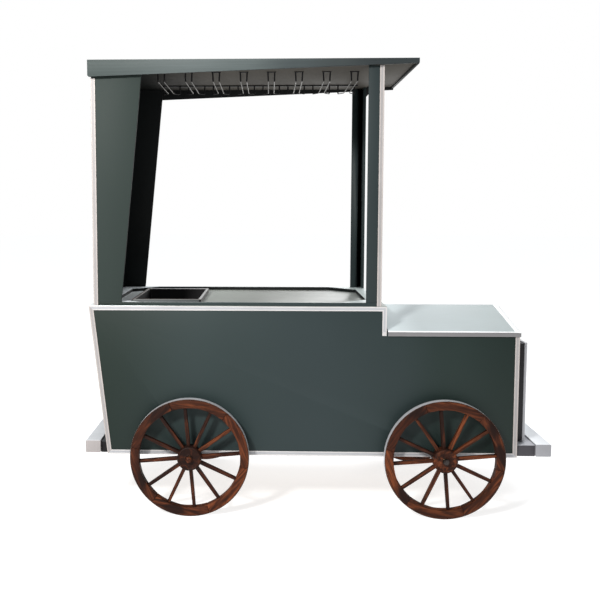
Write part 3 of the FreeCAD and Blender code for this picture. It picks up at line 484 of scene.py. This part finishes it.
def build_boards():
    for side in SIDES:
        eased("side_board_" + side, "green_side")
        eased("cab_wing_" + side, "green_wing green_inside", choose=inward_cab)
        eased("cab_post_" + side, "green_post")
    eased("cab_rear_board", "green green_inside", choose=inward_cab)
    for node in ("rear_board", "front_board", "step_board"):
        eased(node, "green")
    eased("roof_fascias", "green_fascia green_edge", width=0.0012, choose=inward_fascia)
    eased("roof_board", "roof ceiling", choose=under_face)
    eased("ceiling_board", "ceiling")
    for node in ("floor_board", "storage_shelf", "batten_frame"):
        eased(node, "ply")
    for end in ENDS:
        eased("door_" + end, "green", "door_" + end, width=0.0015)


# ---- counter
def top_face(face):
    return int(face.normal.z > 0.7)


def build_counter():
    eased("worktop", "counter", width=0.0004)
    # Edges of the plates and the sills' inner faces take near black painted shade; tops take the corner
    # plate metal, with painted light.
    eased("worktop_corner_plates", "green_edge corner_plate", choose=top_face)

    def sill_face(face):
        outer = abs(face.calc_center_median().y) > OUT - 0.001
        if outer and (abs(face.normal.y) > 0.7 or 0.2 < face.normal.z < 0.95):
            return 2
        return top_face(face)

    eased("worktop_sills", "green_edge corner_plate green_side", choose=sill_face)


def build_bin():
    """Deep drawn pan: a rolled rim, round corners and a coved floor."""
    low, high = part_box("waste_bin")
    centre = (low + high) / 2
    half_x, half_y = (high.x - low.x) / 2, (high.y - low.y) / 2
    rim_width, wall, corner = 0.0125, 0.0015, 0.009
    seat_z = COUNTER_Z + SHEET

    def ring(inset, z, radius):
        outline = rounded_rectangle(half_x - inset, half_y - inset, radius, 6)
        return [(centre.x + a, centre.y + b, z) for a, b in outline]

    inner = rim_width + wall
    stations = [
        (0.0008, seat_z + 0.0002, 0.01), (0.0, seat_z + 0.001, 0.01), (0.0, high.z - 0.003, 0.01),
        (0.001, high.z - 0.0008, 0.01), (0.0032, high.z, 0.01), (rim_width - 0.002, high.z, corner),
        (inner, high.z - 0.0022, corner), (inner + 0.0005, high.z - 0.006, corner),
        (inner + 0.004, low.z + 0.02, corner), (inner + 0.008, low.z + 0.007, corner),
        (inner + 0.02, low.z + wall, corner), (half_x * 0.8, low.z + wall, 0.006),
        (half_x * 0.8, low.z, 0.006), (inner + 0.019, low.z, corner),
        (inner + 0.006, low.z + 0.006, corner), (inner + 0.002, low.z + 0.02, corner),
        (rim_width, seat_z - 0.001, corner), (rim_width - 0.0002, seat_z + 0.0002, corner),
    ]
    bm = bmesh.new()
    made = loft(bm, [ring(*station) for station in stations], closed=True)
    bm.faces.new(made[11])
    bm.faces.new(made[12])
    bmesh.ops.recalc_face_normals(bm, faces=bm.faces)
    # The inside, the near and flank faces, and the rear and near rim strips take darker copies: painted
    # shade.
    for face in bm.faces:
        middle = face.calc_center_median()
        x, y = middle.x - centre.x, middle.y - centre.y
        inside = abs(x) < half_x - 0.0003 and abs(y) < half_y - 0.0003
        if inside and middle.z < high.z - 0.004:
            face.material_index = 1
        elif face.normal.x > 0.7:
            face.material_index = 3
        elif face.normal.y < -0.7:
            face.material_index = 4
        elif x < 0.016 - half_x or y < 0.012 - half_y:
            face.material_index = 2
    place_object("waste_bin_pan", bm, "bin bin_dark bin_dull bin_flank bin_near", "waste_bin",
                 ("waste_bin",), 40.0)


# ---- edge trims
HOOD_FOOT_Z = 0.827
EAVE_BOARD_Z = 0.845
TRIM_WIDTH = 0.02
UPRIGHT_LEGS = (2, 4)           # runs of the path down the rear and up the front, in the darker cab trim colours


def offset_path(points, distance):
    """Shifts an open outline to its left by a distance; its runs meet where their lines cross."""
    runs = []
    for first, second in zip(points, points[1:]):
        along = (second - first).normalized()
        shift = Vector((-along.y, along.x)) * distance
        runs.append((first + shift, second + shift))
    corners = [a + (b - a) * ((c - a).cross(d - c) / (b - a).cross(d - c))
               for (a, b), (c, d) in zip(runs, runs[1:])]
    return [runs[0][0]] + corners + [runs[-1][1]]


def angle_profile(edge_depth):
    """Section of the grooved aluminium angle as (distance in from the edge, depth from its face)."""
    ridge, groove = TRIM_WIDTH * 0.26, 0.0007
    round_over = 0.0005
    return [
        (round_over, 0.0), (ridge - 0.0004, 0.0), (ridge + 0.0004, groove),
        (TRIM_WIDTH - ridge - 0.0004, groove), (TRIM_WIDTH - ridge + 0.0004, 0.0),
        (TRIM_WIDTH - round_over, 0.0), (TRIM_WIDTH, round_over), (TRIM_WIDTH, SHEET),
        (SHEET, SHEET), (SHEET, edge_depth), (0.0, edge_depth), (0.0, round_over),
    ]


def darken_groove(bm):
    """Gives the recessed middle of an angle's face a darker colour."""
    bm.normal_update()
    for face in bm.faces:
        depth = HALF - abs(face.calc_center_median().y)
        if 0.0005 < depth < 0.0009 and abs(face.normal.y) > 0.9:
            face.material_index += 1


def trim_run(bm, path, index, side, profile):
    """One mitred length of angle along a run of the path."""
    rings = [[], []]
    for inset, depth in profile:
        line = offset_path(path, inset) if inset else path
        for ring, point in zip(rings, (line[index], line[index + 1])):
            ring.append((point.x, side * (HALF - depth), point.y))
    loft(bm, rings)


def build_cabinet_trims():
    path = [Vector(p) for p in (
        (STEP_X, EAVE_BOARD_Z), (STEP_X, COUNTER_Z), (CABINET_REAR_TOP, COUNTER_Z),
        (CABINET_REAR_BOTTOM, CABINET_BOTTOM), (CABINET_FRONT, CABINET_BOTTOM),
        (CABINET_FRONT, EAVE_BOARD_Z))]
    profile = angle_profile(HALF - IN - 0.0002)
    bm = bmesh.new()
    for side in SIDES.values():
        for index in range(len(path) - 1):
            before = set(bm.faces)
            trim_run(bm, path, index, side, profile)
            if index in UPRIGHT_LEGS:
                for face in set(bm.faces) - before:
                    face.material_index = 2
        x, y = STEP_X - TRIM_WIDTH / 2, side * (HALF + OUT) / 2
        bar(bm, (x, y, HOOD_FOOT_Z + 0.0005), (x, y, EAVE_BOARD_Z), TRIM_WIDTH / 2, SHEET / 2,
            LENGTHWISE, 0.0005, 0.0004)
    inner = HALF - TRIM_WIDTH
    for x in (CABINET_REAR_TOP + TRIM_WIDTH / 2, STEP_X - TRIM_WIDTH / 2):
        z = COUNTER_Z - SHEET / 2
        bar(bm, (x, -inner, z), (x, inner, z), TRIM_WIDTH / 2, SHEET / 2, LENGTHWISE, 0.0005, 0.0002)
    darken_groove(bm)
    place_object("cabinet_edge_trims_grooved", bm, "trim trim_groove trim_cab trim_cab_groove", "cart",
                 ("cabinet_edge_trims",), 30.0)


def build_cab_trims():
    """Upright angles on the cab's four corners."""
    low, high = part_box("cab_edge_trims")
    rear_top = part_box("roof_fascias")[0].z + 0.009
    profile = angle_profile(TRIM_WIDTH)
    bm = bmesh.new()
    for side in SIDES.values():
        for corner, inward, top in ((low.x, 1.0, rear_top), (high.x, -1.0, high.z)):
            loft(bm, [[(corner + inward * inset, side * (HALF - depth), z) for inset, depth in profile]
                      for z in (low.z, top)])
    darken_groove(bm)
    place_object("cab_edge_trims_grooved", bm, "trim_cab trim_cab_groove", "cart",
                 ("cab_edge_trims",), 30.0)


# ---- hood
def build_hood():
    """Folded stainless lid: bent along the ridge and eaves, with a lip on three sides."""
    rear, front = 0.321, 0.919
    half, eave_z, rise = 0.388, 0.849, 0.08
    hem, hem_drop = 0.028, 0.0025
    lip = eave_z - HOOD_FOOT_Z
    bm = bmesh.new()
    lip_z = eave_z - lip
    section = [(-half, lip_z), (-half, eave_z), (0.0, eave_z + rise), (half, eave_z), (half, lip_z)]
    back = [bm.verts.new((rear, y, z)) for y, z in section]
    crease = [bm.verts.new((front - hem, y, z)) for y, z in section]
    drops = (0.0, hem_drop, hem_drop, hem_drop, 0.0)
    face = [bm.verts.new((front, y, z - drop)) for (y, z), drop in zip(section, drops)]
    foot = bm.verts.new((front, 0.0, eave_z + rise - lip))
    for one, two in ((back, crease), (crease, face)):
        for k in range(4):
            bm.faces.new((one[k], one[k + 1], two[k + 1], two[k]))
    bm.faces.new((face[0], face[1], face[2], foot))
    bm.faces.new((face[4], foot, face[2], face[3]))
    bmesh.ops.recalc_face_normals(bm, faces=bm.faces)
    if sum(f.normal.z for f in bm.faces) < 0:
        bmesh.ops.reverse_faces(bm, faces=bm.faces)
    round_edges(bm, 12.0, 0.0045, 4)
    bmesh.ops.solidify(bm, geom=list(bm.faces), thickness=SHEET)
    bm.normal_update()
    # Folds and the hem's top take the painted highlight, the side lips the painted shade.
    for face in bm.faces:
        middle = face.calc_center_median()
        fold = abs(middle.y) > half - 0.006 and 0.2 < face.normal.z < 0.93
        if fold or (middle.x > front - hem and face.normal.z > 0.7):
            face.material_index = 2
        elif middle.z < eave_z - 0.0015 and abs(middle.y) > half - 0.004 and abs(face.normal.y) > 0.7:
            face.material_index = 1
    place_object("hood_lid_folded", bm, "hood hood_lip hood_fold", "hood_lid",
                 ("hood_lid",), 40.0)


# ---- bumpers, chassis, grille
def build_bumper(end):
    """Rectangular aluminium tube with softly rounded edges and a cap at each end."""
    low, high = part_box("bumper_" + end)
    centre = (low + high) / 2
    half_x, half_z = (high.x - low.x) / 2, (high.z - low.z) / 2
    tip = [(0.0016, 0.0), (0.0006, 0.0004), (0.0001, 0.0012), (0.0, 0.0016),
           (0.0, 0.0025), (0.0004, 0.003), (0.0, 0.0035)]       # the last three are the cap's seam
    rings = []
    for inset, y in mirrored([(inset, back - high.y) for inset, back in tip], 0.0):
        outline = rounded_rectangle(half_x - inset, half_z - inset, 0.0045 - inset * 0.4, 5)
        rings.append([(centre.x + a, y, centre.z + b) for a, b in outline])
    bm = bmesh.new()
    loft(bm, rings)
    bmesh.ops.recalc_face_normals(bm, faces=bm.faces)
    # Top faces take the lighter copy: painted light.
    for face in bm.faces:
        face.material_index = top_face(face)
    place_object("bumper_" + end + "_rounded", bm, "bumper bumper_top", "cart",
                 ("bumper_" + end,), 30.0)


def build_axle(end):
    """Round bar right across, with a smaller chamfered tip at each end."""
    low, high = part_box("axle_" + end)
    centre = Vector(((low.x + high.x) / 2, 0.0, (low.z + high.z) / 2))
    radius, tip = (high.x - low.x) / 2, 0.0065
    profile = [(0.0001, high.y - 0.0025), (0.0016, high.y - 0.0006), (tip - 0.0012, high.y),
               (tip, high.y - 0.0012), (tip, high.y - 0.0045), (radius - 0.0006, high.y - 0.0048),
               (radius, high.y - 0.0056)]
    bm = bmesh.new()
    lathe(bm, centre, CROSSWISE, mirrored(profile, 0.0), 48)
    # The axle's dark steel is painted shade at its ends.
    place_object("axle_" + end + "_turned", bm, "axle", "cart", ("axle_" + end,))


def build_frame():
    """Bumpers, the grille at the front, the chassis with its deck plates, and the axles."""
    for end in ENDS:
        build_bumper(end)
    eased("grille_core", "grille_dark grille", width=0.0008, choose=top_face)
    eased("grille_frame", "grille", width=0.0018)
    eased("chassis_frame", "dark_steel", width=0.0015)
    eased("deck_plates", "deck", width=0.0005)
    for end in ENDS:
        build_axle(end)


# ---- glass racks
def build_racks():
    """Bright wire rails that flare at the far end, on black hangers under the ceiling."""
    low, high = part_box("rack_rails")
    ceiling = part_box("ceiling_board")[0].z
    count, pitch, first = 8, 0.1283, -0.725
    gap, flare, spread, flare_start = 0.014, 0.042, 0.002, 0.188
    half, black_half = 0.002, 0.0034
    rail_z = (low.z + high.z) / 2
    near_y, far_y = low.y + half, high.y - half
    rails, black = bmesh.new(), bmesh.new()

    def strap(start, end, half_a=black_half, half_b=half, side=LENGTHWISE, radius=0.0007):
        bar(black, start, end, half_a, half_b, side, radius)

    for k in range(count):
        x = first + k * pitch
        for side in (-1.0, 1.0):
            inner, outer = x + side * gap, x + side * flare
            path = [(inner, low.y, rail_z), (inner, flare_start, rail_z), (outer, high.y, rail_z)]
            wire(rails, round_path(path, 0.03), half)
            strap((inner, near_y, high.z), (x + side * (gap + spread), near_y, ceiling - half))
            strap((outer, far_y, high.z), (outer, far_y, ceiling - 0.004))
        strap((x - 0.022, near_y, ceiling - half), (x + 0.022, near_y, ceiling - half),
              half, black_half, UP)
        for side in (-1.0, 1.0):
            screw(black, (x + side * 0.009, near_y, ceiling - 2 * half), -UP, 0.0018)
    last = first + (count - 1) * pitch
    strap((first - 0.06, far_y, ceiling - 0.003), (last + 0.06, far_y, ceiling - 0.003),
          0.003, 0.004, UP, 0.0008)
    for face in rails.faces:
        if face.calc_center_median().y > flare_start - 0.012:
            face.material_index = 1
    place_object("rack_rails_wire", rails, "rail black", "cart", ("rack_rails",), 40.0)
    place_object("rack_hangers_black", black, "black", "cart", ("rack_brackets",), 40.0)


def build_gusset():
    """Small steel bracket between the far front post and the overhanging roof."""
    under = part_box("roof_board")[0].z
    reach, drop, thick = 0.048, 0.052, 0.003
    y = OUT - 0.006
    corners = [(CAB_FRONT, under), (CAB_FRONT + reach, under), (CAB_FRONT + reach, under - 0.006),
               (CAB_FRONT + 0.006, under - drop), (CAB_FRONT, under - drop)]
    middle = Vector((sum(c[0] for c in corners) / 5, 0.0, sum(c[1] for c in corners) / 5))
    bm = bmesh.new()
    rings = []
    for depth, shrink in ((-thick, 0.97), (-thick + 0.0006, 1.0), (-0.0006, 1.0), (0.0, 0.97)):
        rings.append([middle + (Vector((x, 0.0, z)) - middle) * shrink + Vector((0.0, y + depth, 0.0))
                      for x, z in corners])
    loft(bm, rings)
    for x, z in ((CAB_FRONT + 0.01, under - 0.03), (CAB_FRONT + 0.03, under - 0.01)):
        screw(bm, (x, y - thick, z), -CROSSWISE, 0.0026)
    place_object("post_gusset_far", bm, "black", "cart")


# ---- doors and hinges
LEAF_FACE = OUT + 0.0015        # outer face of the hinge leaves on the far side board
DOOR_HINGES = (0.41, 0.75)    # lower ends of a door's hinges
HOOD_HINGES = (0.37, 0.59, 0.81)
SCREW_STEPS = (0.01, 0.03, 0.05)


def build_door_fittings(end):
    """Bow handle on flanged feet, and the door's own halves of the two hinges."""
    door = "door_" + end
    node = door + "_fittings"
    leaves = bmesh.new()
    leaves.from_mesh(frame["nodes"][node].data)
    bmesh.ops.remove_doubles(leaves, verts=leaves.verts, dist=0.00002)
    handle = [face for face in leaves.faces if abs(face.calc_center_median().x) < 0.06]
    bmesh.ops.delete(leaves, geom=handle, context="FACES")
    bmesh.ops.dissolve_limit(leaves, angle_limit=math.radians(0.6), verts=leaves.verts,
                             edges=leaves.edges)
    place_object(door + "_hinge_leaves", leaves, "hinge", door, (node,), 30.0)
    bm = bmesh.new()
    x, low, high, rise = ENDS[end] * 0.034, 0.595, 0.725, 0.023
    path = [(x, OUT, low), (x, OUT + rise, low), (x, OUT + rise, high), (x, OUT, high)]
    wire(bm, round_path(path, 0.012, 8), 0.0048, 16)
    flange = [(0.0002, 0.0), (0.0085, 0.0), (0.0085, 0.0016), (0.007, 0.0028), (0.0002, 0.003)]
    for z in (low, high):
        lathe(bm, (x, OUT, z), CROSSWISE, flange, 28)
    place_object(door + "_handle_bow", bm, "hinge", door)


def door_screws(bm, x):
    for z in DOOR_HINGES:
        for step in SCREW_STEPS:
            screw(bm, (x, LEAF_FACE, z + step), CROSSWISE)


def build_hinges():
    eased("hood_hinges", "hinge", width=0.0003)
    eased("door_hinges", "zinc", width=0.0003)
    for end in ENDS:
        build_door_fittings(end)
    screws = bmesh.new()
    for x in HOOD_HINGES:
        for step in SCREW_STEPS:
            screw(screws, (x + step, LEAF_FACE, 0.8), CROSSWISE)
    for sign in ENDS.values():
        door_screws(screws, sign * 0.2915)
    place_object("hinge_screws_fixed", screws, "zinc", "cart")
    for end, sign in ENDS.items():
        moving = bmesh.new()
        door_screws(moving, sign * 0.2505)
        place_object("hinge_screws_door_" + end, moving, "zinc", "door_" + end)
    lid_leaves = bmesh.new()
    axis_y, axis_z, knuckle = 0.388, 0.822, 0.004
    for x in HOOD_HINGES:
        start, end = x + 0.0203, x + 0.0397
        middle, length = (start + end) / 2, end - start
        lathe(lid_leaves, (start, axis_y, axis_z), LENGTHWISE,
              mirrored([(0.0021, 0.0), (knuckle - 0.0003, 0.0), (knuckle, 0.0003)], length), 28)
        bar(lid_leaves, (middle, axis_y + 0.00075, axis_z + 0.0032), (middle, axis_y + 0.00075, 0.846),
            length / 2, 0.00075, LENGTHWISE, 0.0004)
        screw(lid_leaves, (middle, axis_y + 0.0015, 0.838), CROSSWISE, 0.0028)
    place_object("hood_hinge_leaves", lid_leaves, "hinge", "hood_lid")


# ---- wheels
HUB_Y = (0.393, 0.467)
HUB_LENGTH = HUB_Y[1] - HUB_Y[0]
TYRE_OUTER = WHEEL_AT["wheel_rear_near"].z
TYRE_SHEET = 0.003
FELLOE_OUTER = TYRE_OUTER - TYRE_SHEET
FELLOE_INNER = 0.232
FELLOE_HALF = 0.02
HUB_RADIUS = 0.055
SPOKES = 12
FELLOES = 6
SPOKE_PHASE = -5.0
SCORCHED = {"rear": (-30.0, 200.0, 245.0), "front": (-30.0, 57.0, 82.0, 228.0)}
RIM_TONES = {"rear": (-0.35, 0.0, 0.8, -0.1, -0.6, -0.7), "front": (-0.15, -0.7, 0.0, 0.35, 0.9, -0.8)}
SCORCH_WIDTH = 13.0


def on_wheel(centre, radius, turn, y):
    """Point at a radius and a turn, in degrees clockwise from the top seen from the near side."""
    angle = math.radians(turn)
    return Vector((centre.x + radius * math.sin(angle), y, centre.z + radius * math.cos(angle)))


def scorch_at(end, turn):
    """How burnt the rim is at a turn, 0 to 1."""
    distances = [(turn - middle + 180.0) % 360.0 - 180.0 for middle in SCORCHED[end]]
    return max(math.exp(-(distance / SCORCH_WIDTH) ** 2) for distance in distances)


class WoodMesh:
    """A bmesh whose vertices also carry the grain coordinates, a tone and the scorching with painted
    shade.
    """

    def __init__(self):
        self.bm = bmesh.new()
        self.grain = self.bm.verts.layers.float_vector.new("grain")
        self.tone = self.bm.verts.layers.float.new("tone")
        self.scorch_and_shade = self.bm.verts.layers.float.new("scorch_and_shade")

    def mark(self, rings, origin, along, across, tone, scorch_and_shade):
        """Stores the grain of some rings: distance along and across a straight-grained plank."""
        third = along.cross(across)
        for ring in rings:
            for vert in ring:
                arm = vert.co - origin
                vert[self.grain] = Vector((arm.dot(along), arm.dot(across), arm.dot(third))) + Vector(
                    (tone * 7.0, tone * 3.0, tone * 5.0))
                vert[self.tone] = tone
                vert[self.scorch_and_shade] = scorch_and_shade(vert.co)


def build_felloes(wheel, end, centre, rand):
    """Six sawn rim segments; each one's straight grain is cut by its curve."""
    wood = WoodMesh()
    arc = 360.0 / FELLOES
    sector = 360.0 / SPOKES
    first = SPOKE_PHASE - sector / 2
    gap, cut, steps, ease, flatness = 0.1, 0.35, 20, 0.0022, 0.15

    def burnt_and_shaded(point):
        return scorch_at(end, math.degrees(math.atan2(point.x - centre.x, point.z - centre.z)))

    for k in range(FELLOES):
        start, stop = first + arc * k + gap, first + arc * (k + 1) - gap
        rings = []
        stations = [(start + cut + (stop - start - 2 * cut) * n / steps, 0.0) for n in range(steps + 1)]
        for turn, shrink in [(start, 0.0014)] + stations + [(stop, 0.0014)]:
            local = math.radians((turn - first) % sector - sector / 2)
            chord = FELLOE_INNER * math.cos(math.radians(sector / 2)) / math.cos(local)
            inner = FELLOE_INNER + (chord - FELLOE_INNER) * flatness
            middle, half = (FELLOE_OUTER + inner) / 2, (FELLOE_OUTER - inner) / 2
            outline = rounded_rectangle(half - shrink, FELLOE_HALF - shrink, ease)
            rings.append([on_wheel(centre, middle + a, turn, centre.y + b) for a, b in outline])
        made = loft(wood.bm, rings)
        mid_turn = (start + stop) / 2
        along = on_wheel(centre, 1.0, mid_turn + 90.0, centre.y) - centre
        across = on_wheel(centre, 1.0, mid_turn, centre.y) - centre
        tone = RIM_TONES[end][k] + rand.uniform(-0.1, 0.1)

        wood.mark(made, centre, along, across, tone, burnt_and_shaded)
    place_object(wheel + "_rim_segments", wood.bm, "wood", wheel, (wheel + "_felloes",))


def build_spokes(wheel, centre, rand):
    """Twelve planed spokes, a little thicker at the hub."""
    wood = WoodMesh()
    root, tip = 0.045, 0.236
    for k in range(SPOKES):
        turn = SPOKE_PHASE + 360.0 / SPOKES * k
        along = on_wheel(centre, 1.0, turn, centre.y) - centre
        across = on_wheel(centre, 1.0, turn + 90.0, centre.y) - centre
        rings = []
        for n in range(9):
            share = n / 8
            half = 0.008 - 0.0011 * share + 0.0004 * math.sin(math.pi * share)
            outline = rounded_rectangle(half, 0.011 - 0.001 * share, 0.0024)
            point = centre + along * (root + (tip - root) * share)
            rings.append([point + across * a + Vector((0, b, 0)) for a, b in outline])
        made = loft(wood.bm, rings)
        tone = rand.uniform(-0.9, 0.6)
        # The lower spokes are darker: painted shade, as the light falls from above.
        lower = 0.5 - 0.5 * math.cos(math.radians(turn))
        burn_and_shade = rand.choice((0.08, 0.16, 0.3, 0.6)) + 0.28 * lower

        # Each spoke is also darker towards the rim.
        def burnt_and_shaded(point):
            from_rim = FELLOE_INNER - (point - centre).length
            return burn_and_shade + 0.35 * max(0.0, 1.0 - from_rim / 0.03)

        wood.mark(made, centre, along, across, tone, burnt_and_shaded)
    place_object(wheel + "_spokes_planed", wood.bm, "wood", wheel, (wheel + "_spokes",))


def build_hub(wheel, end, centre, out):
    """Turned wooden hub: grooved barrel, chamfered and slightly dished outer face."""
    wood = WoodMesh()
    bore = 0.0142
    base = Vector((centre.x, out * HUB_Y[0], centre.z))
    axis = Vector((0, out, 0))
    # Barrel as (depth below its radius, distance from the inner end), then from the outer end.
    inner = [(0.012, 0.0), (0.009, 0.0015), (0.006, 0.006), (0.006, 0.012), (0.008, 0.0135),
             (0.006, 0.015), (0.001, 0.017), (0.0, 0.019)]
    outer = [(0.0, 0.02), (0.0012, 0.0185), (0.0022, 0.0175), (0.0012, 0.0165), (0.0002, 0.015),
             (0.0, 0.005), (0.0012, 0.0026), (0.0045, 0.0004), (0.0075, 0.0), (0.0095, 0.001),
             (0.014, 0.002)]
    face = [(0.024, 0.0026), (0.019, 0.0022), (0.0172, 0.001), (0.016, 0.0014), (bore, 0.003)]
    profile = [(bore, 0.0)] + [(HUB_RADIUS - depth, at) for depth, at in inner]
    profile += [(HUB_RADIUS - depth, HUB_LENGTH - back) for depth, back in outer]
    profile += [(radius, HUB_LENGTH - back) for radius, back in face]
    made = lathe(wood.bm, base, axis, profile, 96)
    # The barrel behind the outer face is darker: painted shade.
    burn_and_shade = 1.0 if end == "rear" else 0.52
    wood.mark(made, centre, axis, UP, -0.6 if end == "rear" else 0.1,
              lambda point: burn_and_shade + 0.25 * ((point - base).dot(axis) < HUB_LENGTH - 0.006))
    place_object(wheel + "_hub_turned", wood.bm, "wood", wheel, (wheel + "_hub",), 30.0)


def build_tyre(wheel, centre):
    """Flat steel band with eased edges."""
    bm = bmesh.new()
    rings = []
    steps, half = 128, 0.018
    middle = FELLOE_OUTER + TYRE_SHEET / 2
    outline = rounded_rectangle(TYRE_SHEET / 2, half, 0.0011)
    for k in range(steps):
        turn = 360.0 * k / steps
        rings.append([on_wheel(centre, middle + a, turn, centre.y + b) for a, b in outline])
    loft(bm, rings, closed=True)
    bm.normal_update()
    for face in bm.faces:
        face.material_index = int(abs(face.normal.y) > 0.6)
    place_object(wheel + "_tyre_band", bm, "tyre tyre_edge", wheel, (wheel + "_tyre",))


def build_bush(wheel, centre, out):
    bm = bmesh.new()
    base = Vector((centre.x, out * HUB_Y[0], centre.z))
    edge = [(0.01005, 0.0006), (0.0107, 0.0), (0.0134, 0.0), (0.014, 0.0006)]
    lathe(bm, base, Vector((0, out, 0)), mirrored(edge, HUB_LENGTH - 0.003), 48)
    place_object(wheel + "_bush_turned", bm, "bronze", wheel, (wheel + "_bush",), 30.0)


def nut(bm, centre, axis, radius, height):
    """Hexagon nut with chamfered corners."""
    second = axis.cross(LENGTHWISE)
    rings = []
    for distance, chamfer in ((0.0, 0.94), (height * 0.08, 1.0), (height * 0.9, 1.0), (height, 0.92)):
        ring = []
        for k in range(24):
            turn = 2 * math.pi * k / 24
            flat = math.cos(math.pi / 6) / math.cos((turn % (math.pi / 3)) - math.pi / 6)
            reach = min(radius * flat, radius * chamfer if chamfer < 1.0 else radius)
            out = LENGTHWISE * math.cos(turn) + second * math.sin(turn)
            ring.append(centre + axis * distance + out * reach)
        rings.append(ring)
    loft(bm, rings)


def build_fasteners():
    """Collars, washers and nuts; the rear wheels have domed wooden caps over theirs."""
    steel, caps = bmesh.new(), WoodMesh()
    for wheel, centre in WHEEL_AT.items():
        out = SIDES[wheel.split("_")[2]]
        axis = Vector((0, out, 0))
        inner = Vector((centre.x, out * (HUB_Y[0] - 0.0007), centre.z))
        lathe(steel, inner, -axis, mirrored([(0.0101, 0.0), (0.0165, 0.0), (0.017, 0.0005)], 0.009), 48)
        seat = Vector((centre.x, out * (HUB_Y[1] + 0.0007), centre.z))
        lathe(steel, seat, axis, mirrored([(0.0101, 0.0), (0.0146, 0.0), (0.015, 0.0004)], 0.0025), 48)
        if wheel.split("_")[1] == "front":
            nut(steel, seat + axis * 0.0025, axis, 0.0135, 0.011)
        else:
            profile = [(0.0001, 0.0025), (0.0128, 0.0025), (0.0138, 0.0035), (0.014, 0.011),
                       (0.0134, 0.0145), (0.0112, 0.0172), (0.007, 0.0194), (0.0001, 0.0202)]
            made = lathe(caps.bm, seat, axis, profile, 48)
            caps.mark(made, centre, axis, UP, -0.1, lambda point: 0.4)
    # The dark nuts and washers are painted shade round the axle ends.
    place_object("axle_washers_nuts", steel, "nut", "cart", ("axle_fasteners",), 30.0)
    place_object("axle_caps_wood", caps.bm, "wood", "cart", (), 30.0)


def build_wheels():
    for seed, (wheel, centre) in enumerate(sorted(WHEEL_AT.items())):
        end, side = wheel.split("_")[1:]
        rand = random.Random(11 + seed)
        out = SIDES[side]
        build_felloes(wheel, end, centre, rand)
        build_spokes(wheel, centre, rand)
        build_hub(wheel, end, centre, out)
        build_tyre(wheel, centre)
        build_bush(wheel, centre, out)
    build_fasteners()


# ---- stage, light and camera
CAMERA_PLACE = Vector((-0.2183, -4.1532, 1.41))
CAMERA_YAW = math.radians(-1.966)
CAMERA_PITCH = math.radians(4.89)


def build_camera():
    data = bpy.data.cameras.new("camera")
    data.lens, data.sensor_width = 50.04, 36.0
    data.shift_x, data.shift_y = 0.0986, -0.0357
    camera = add_object("camera", data)
    level = math.cos(CAMERA_PITCH)
    ahead = Vector((math.sin(CAMERA_YAW) * level, math.cos(CAMERA_YAW) * level, -math.sin(CAMERA_PITCH)))
    right = Vector((math.cos(CAMERA_YAW), -math.sin(CAMERA_YAW), 0.0))
    turn = Matrix((right, right.cross(ahead), -ahead)).transposed()
    camera.matrix_world = Matrix.Translation(CAMERA_PLACE) @ turn.to_4x4()
    bpy.context.scene.camera = camera


def area_light(name, place, target, size, power, color=(1.0, 1.0, 1.0)):
    data = bpy.data.lights.new(name, "AREA")
    data.shape, data.size, data.energy, data.color = "DISK", size, power, color
    light = add_object(name, data)
    light.location = place
    light.rotation_euler = (Vector(target) - Vector(place)).to_track_quat("-Z", "Y").to_euler()


def build_stage():
    bm = bmesh.new()
    bmesh.ops.create_circle(bm, cap_ends=True, radius=40.0, segments=96)
    mesh = bpy.data.meshes.new("studio_floor")
    bm.to_mesh(mesh)
    bm.free()
    floor = add_object("studio_floor", mesh)
    pale = Shader("studio_floor_pale", (0.45, 0.45, 0.45), 0.9, specular=0.0)
    pale.fill(pale.surface, {"Emission Color": (1.0, 1.0, 1.0, 1.0), "Emission Strength": 0.74})
    mesh.materials.append(pale.material)

    world = bpy.data.worlds.new("studio")
    world.use_nodes = True
    tree = world.node_tree
    seen, lit = tree.nodes["Background"], tree.nodes.new("ShaderNodeBackground")
    seen.inputs["Color"].default_value = (1.0, 1.0, 1.0, 1.0)
    lit.inputs["Color"].default_value = (0.97, 0.99, 1.0, 1.0)
    lit.inputs["Strength"].default_value = 0.58
    rays, both = tree.nodes.new("ShaderNodeLightPath"), tree.nodes.new("ShaderNodeMixShader")
    tree.links.new(rays.outputs["Is Camera Ray"], both.inputs["Fac"])
    tree.links.new(lit.outputs["Background"], both.inputs[1])
    tree.links.new(seen.outputs["Background"], both.inputs[2])
    tree.links.new(both.outputs["Shader"], tree.nodes["World Output"].inputs["Surface"])
    bpy.context.scene.world = world

    area_light("key", (-2.6, -4.4, 3.6), (0.0, 0.0, 0.9), 0.8, 330.0, (1.0, 0.985, 0.96))
    area_light("back", (0.9, 3.4, 2.3), (-0.7, 0.0, 1.0), 2.4, 36.0)
    area_light("overhead", (0.8, 0.6, 5.2), (0.0, 0.0, 0.0), 4.0, 140.0)
    bpy.context.scene.view_settings.view_transform = "Standard"


# ---- the whole model
build_boards()
build_counter()
build_bin()
build_cabinet_trims()
build_cab_trims()
build_hood()
build_frame()
build_racks()
build_gusset()
build_hinges()
build_wheels()
build_stage()
build_camera()
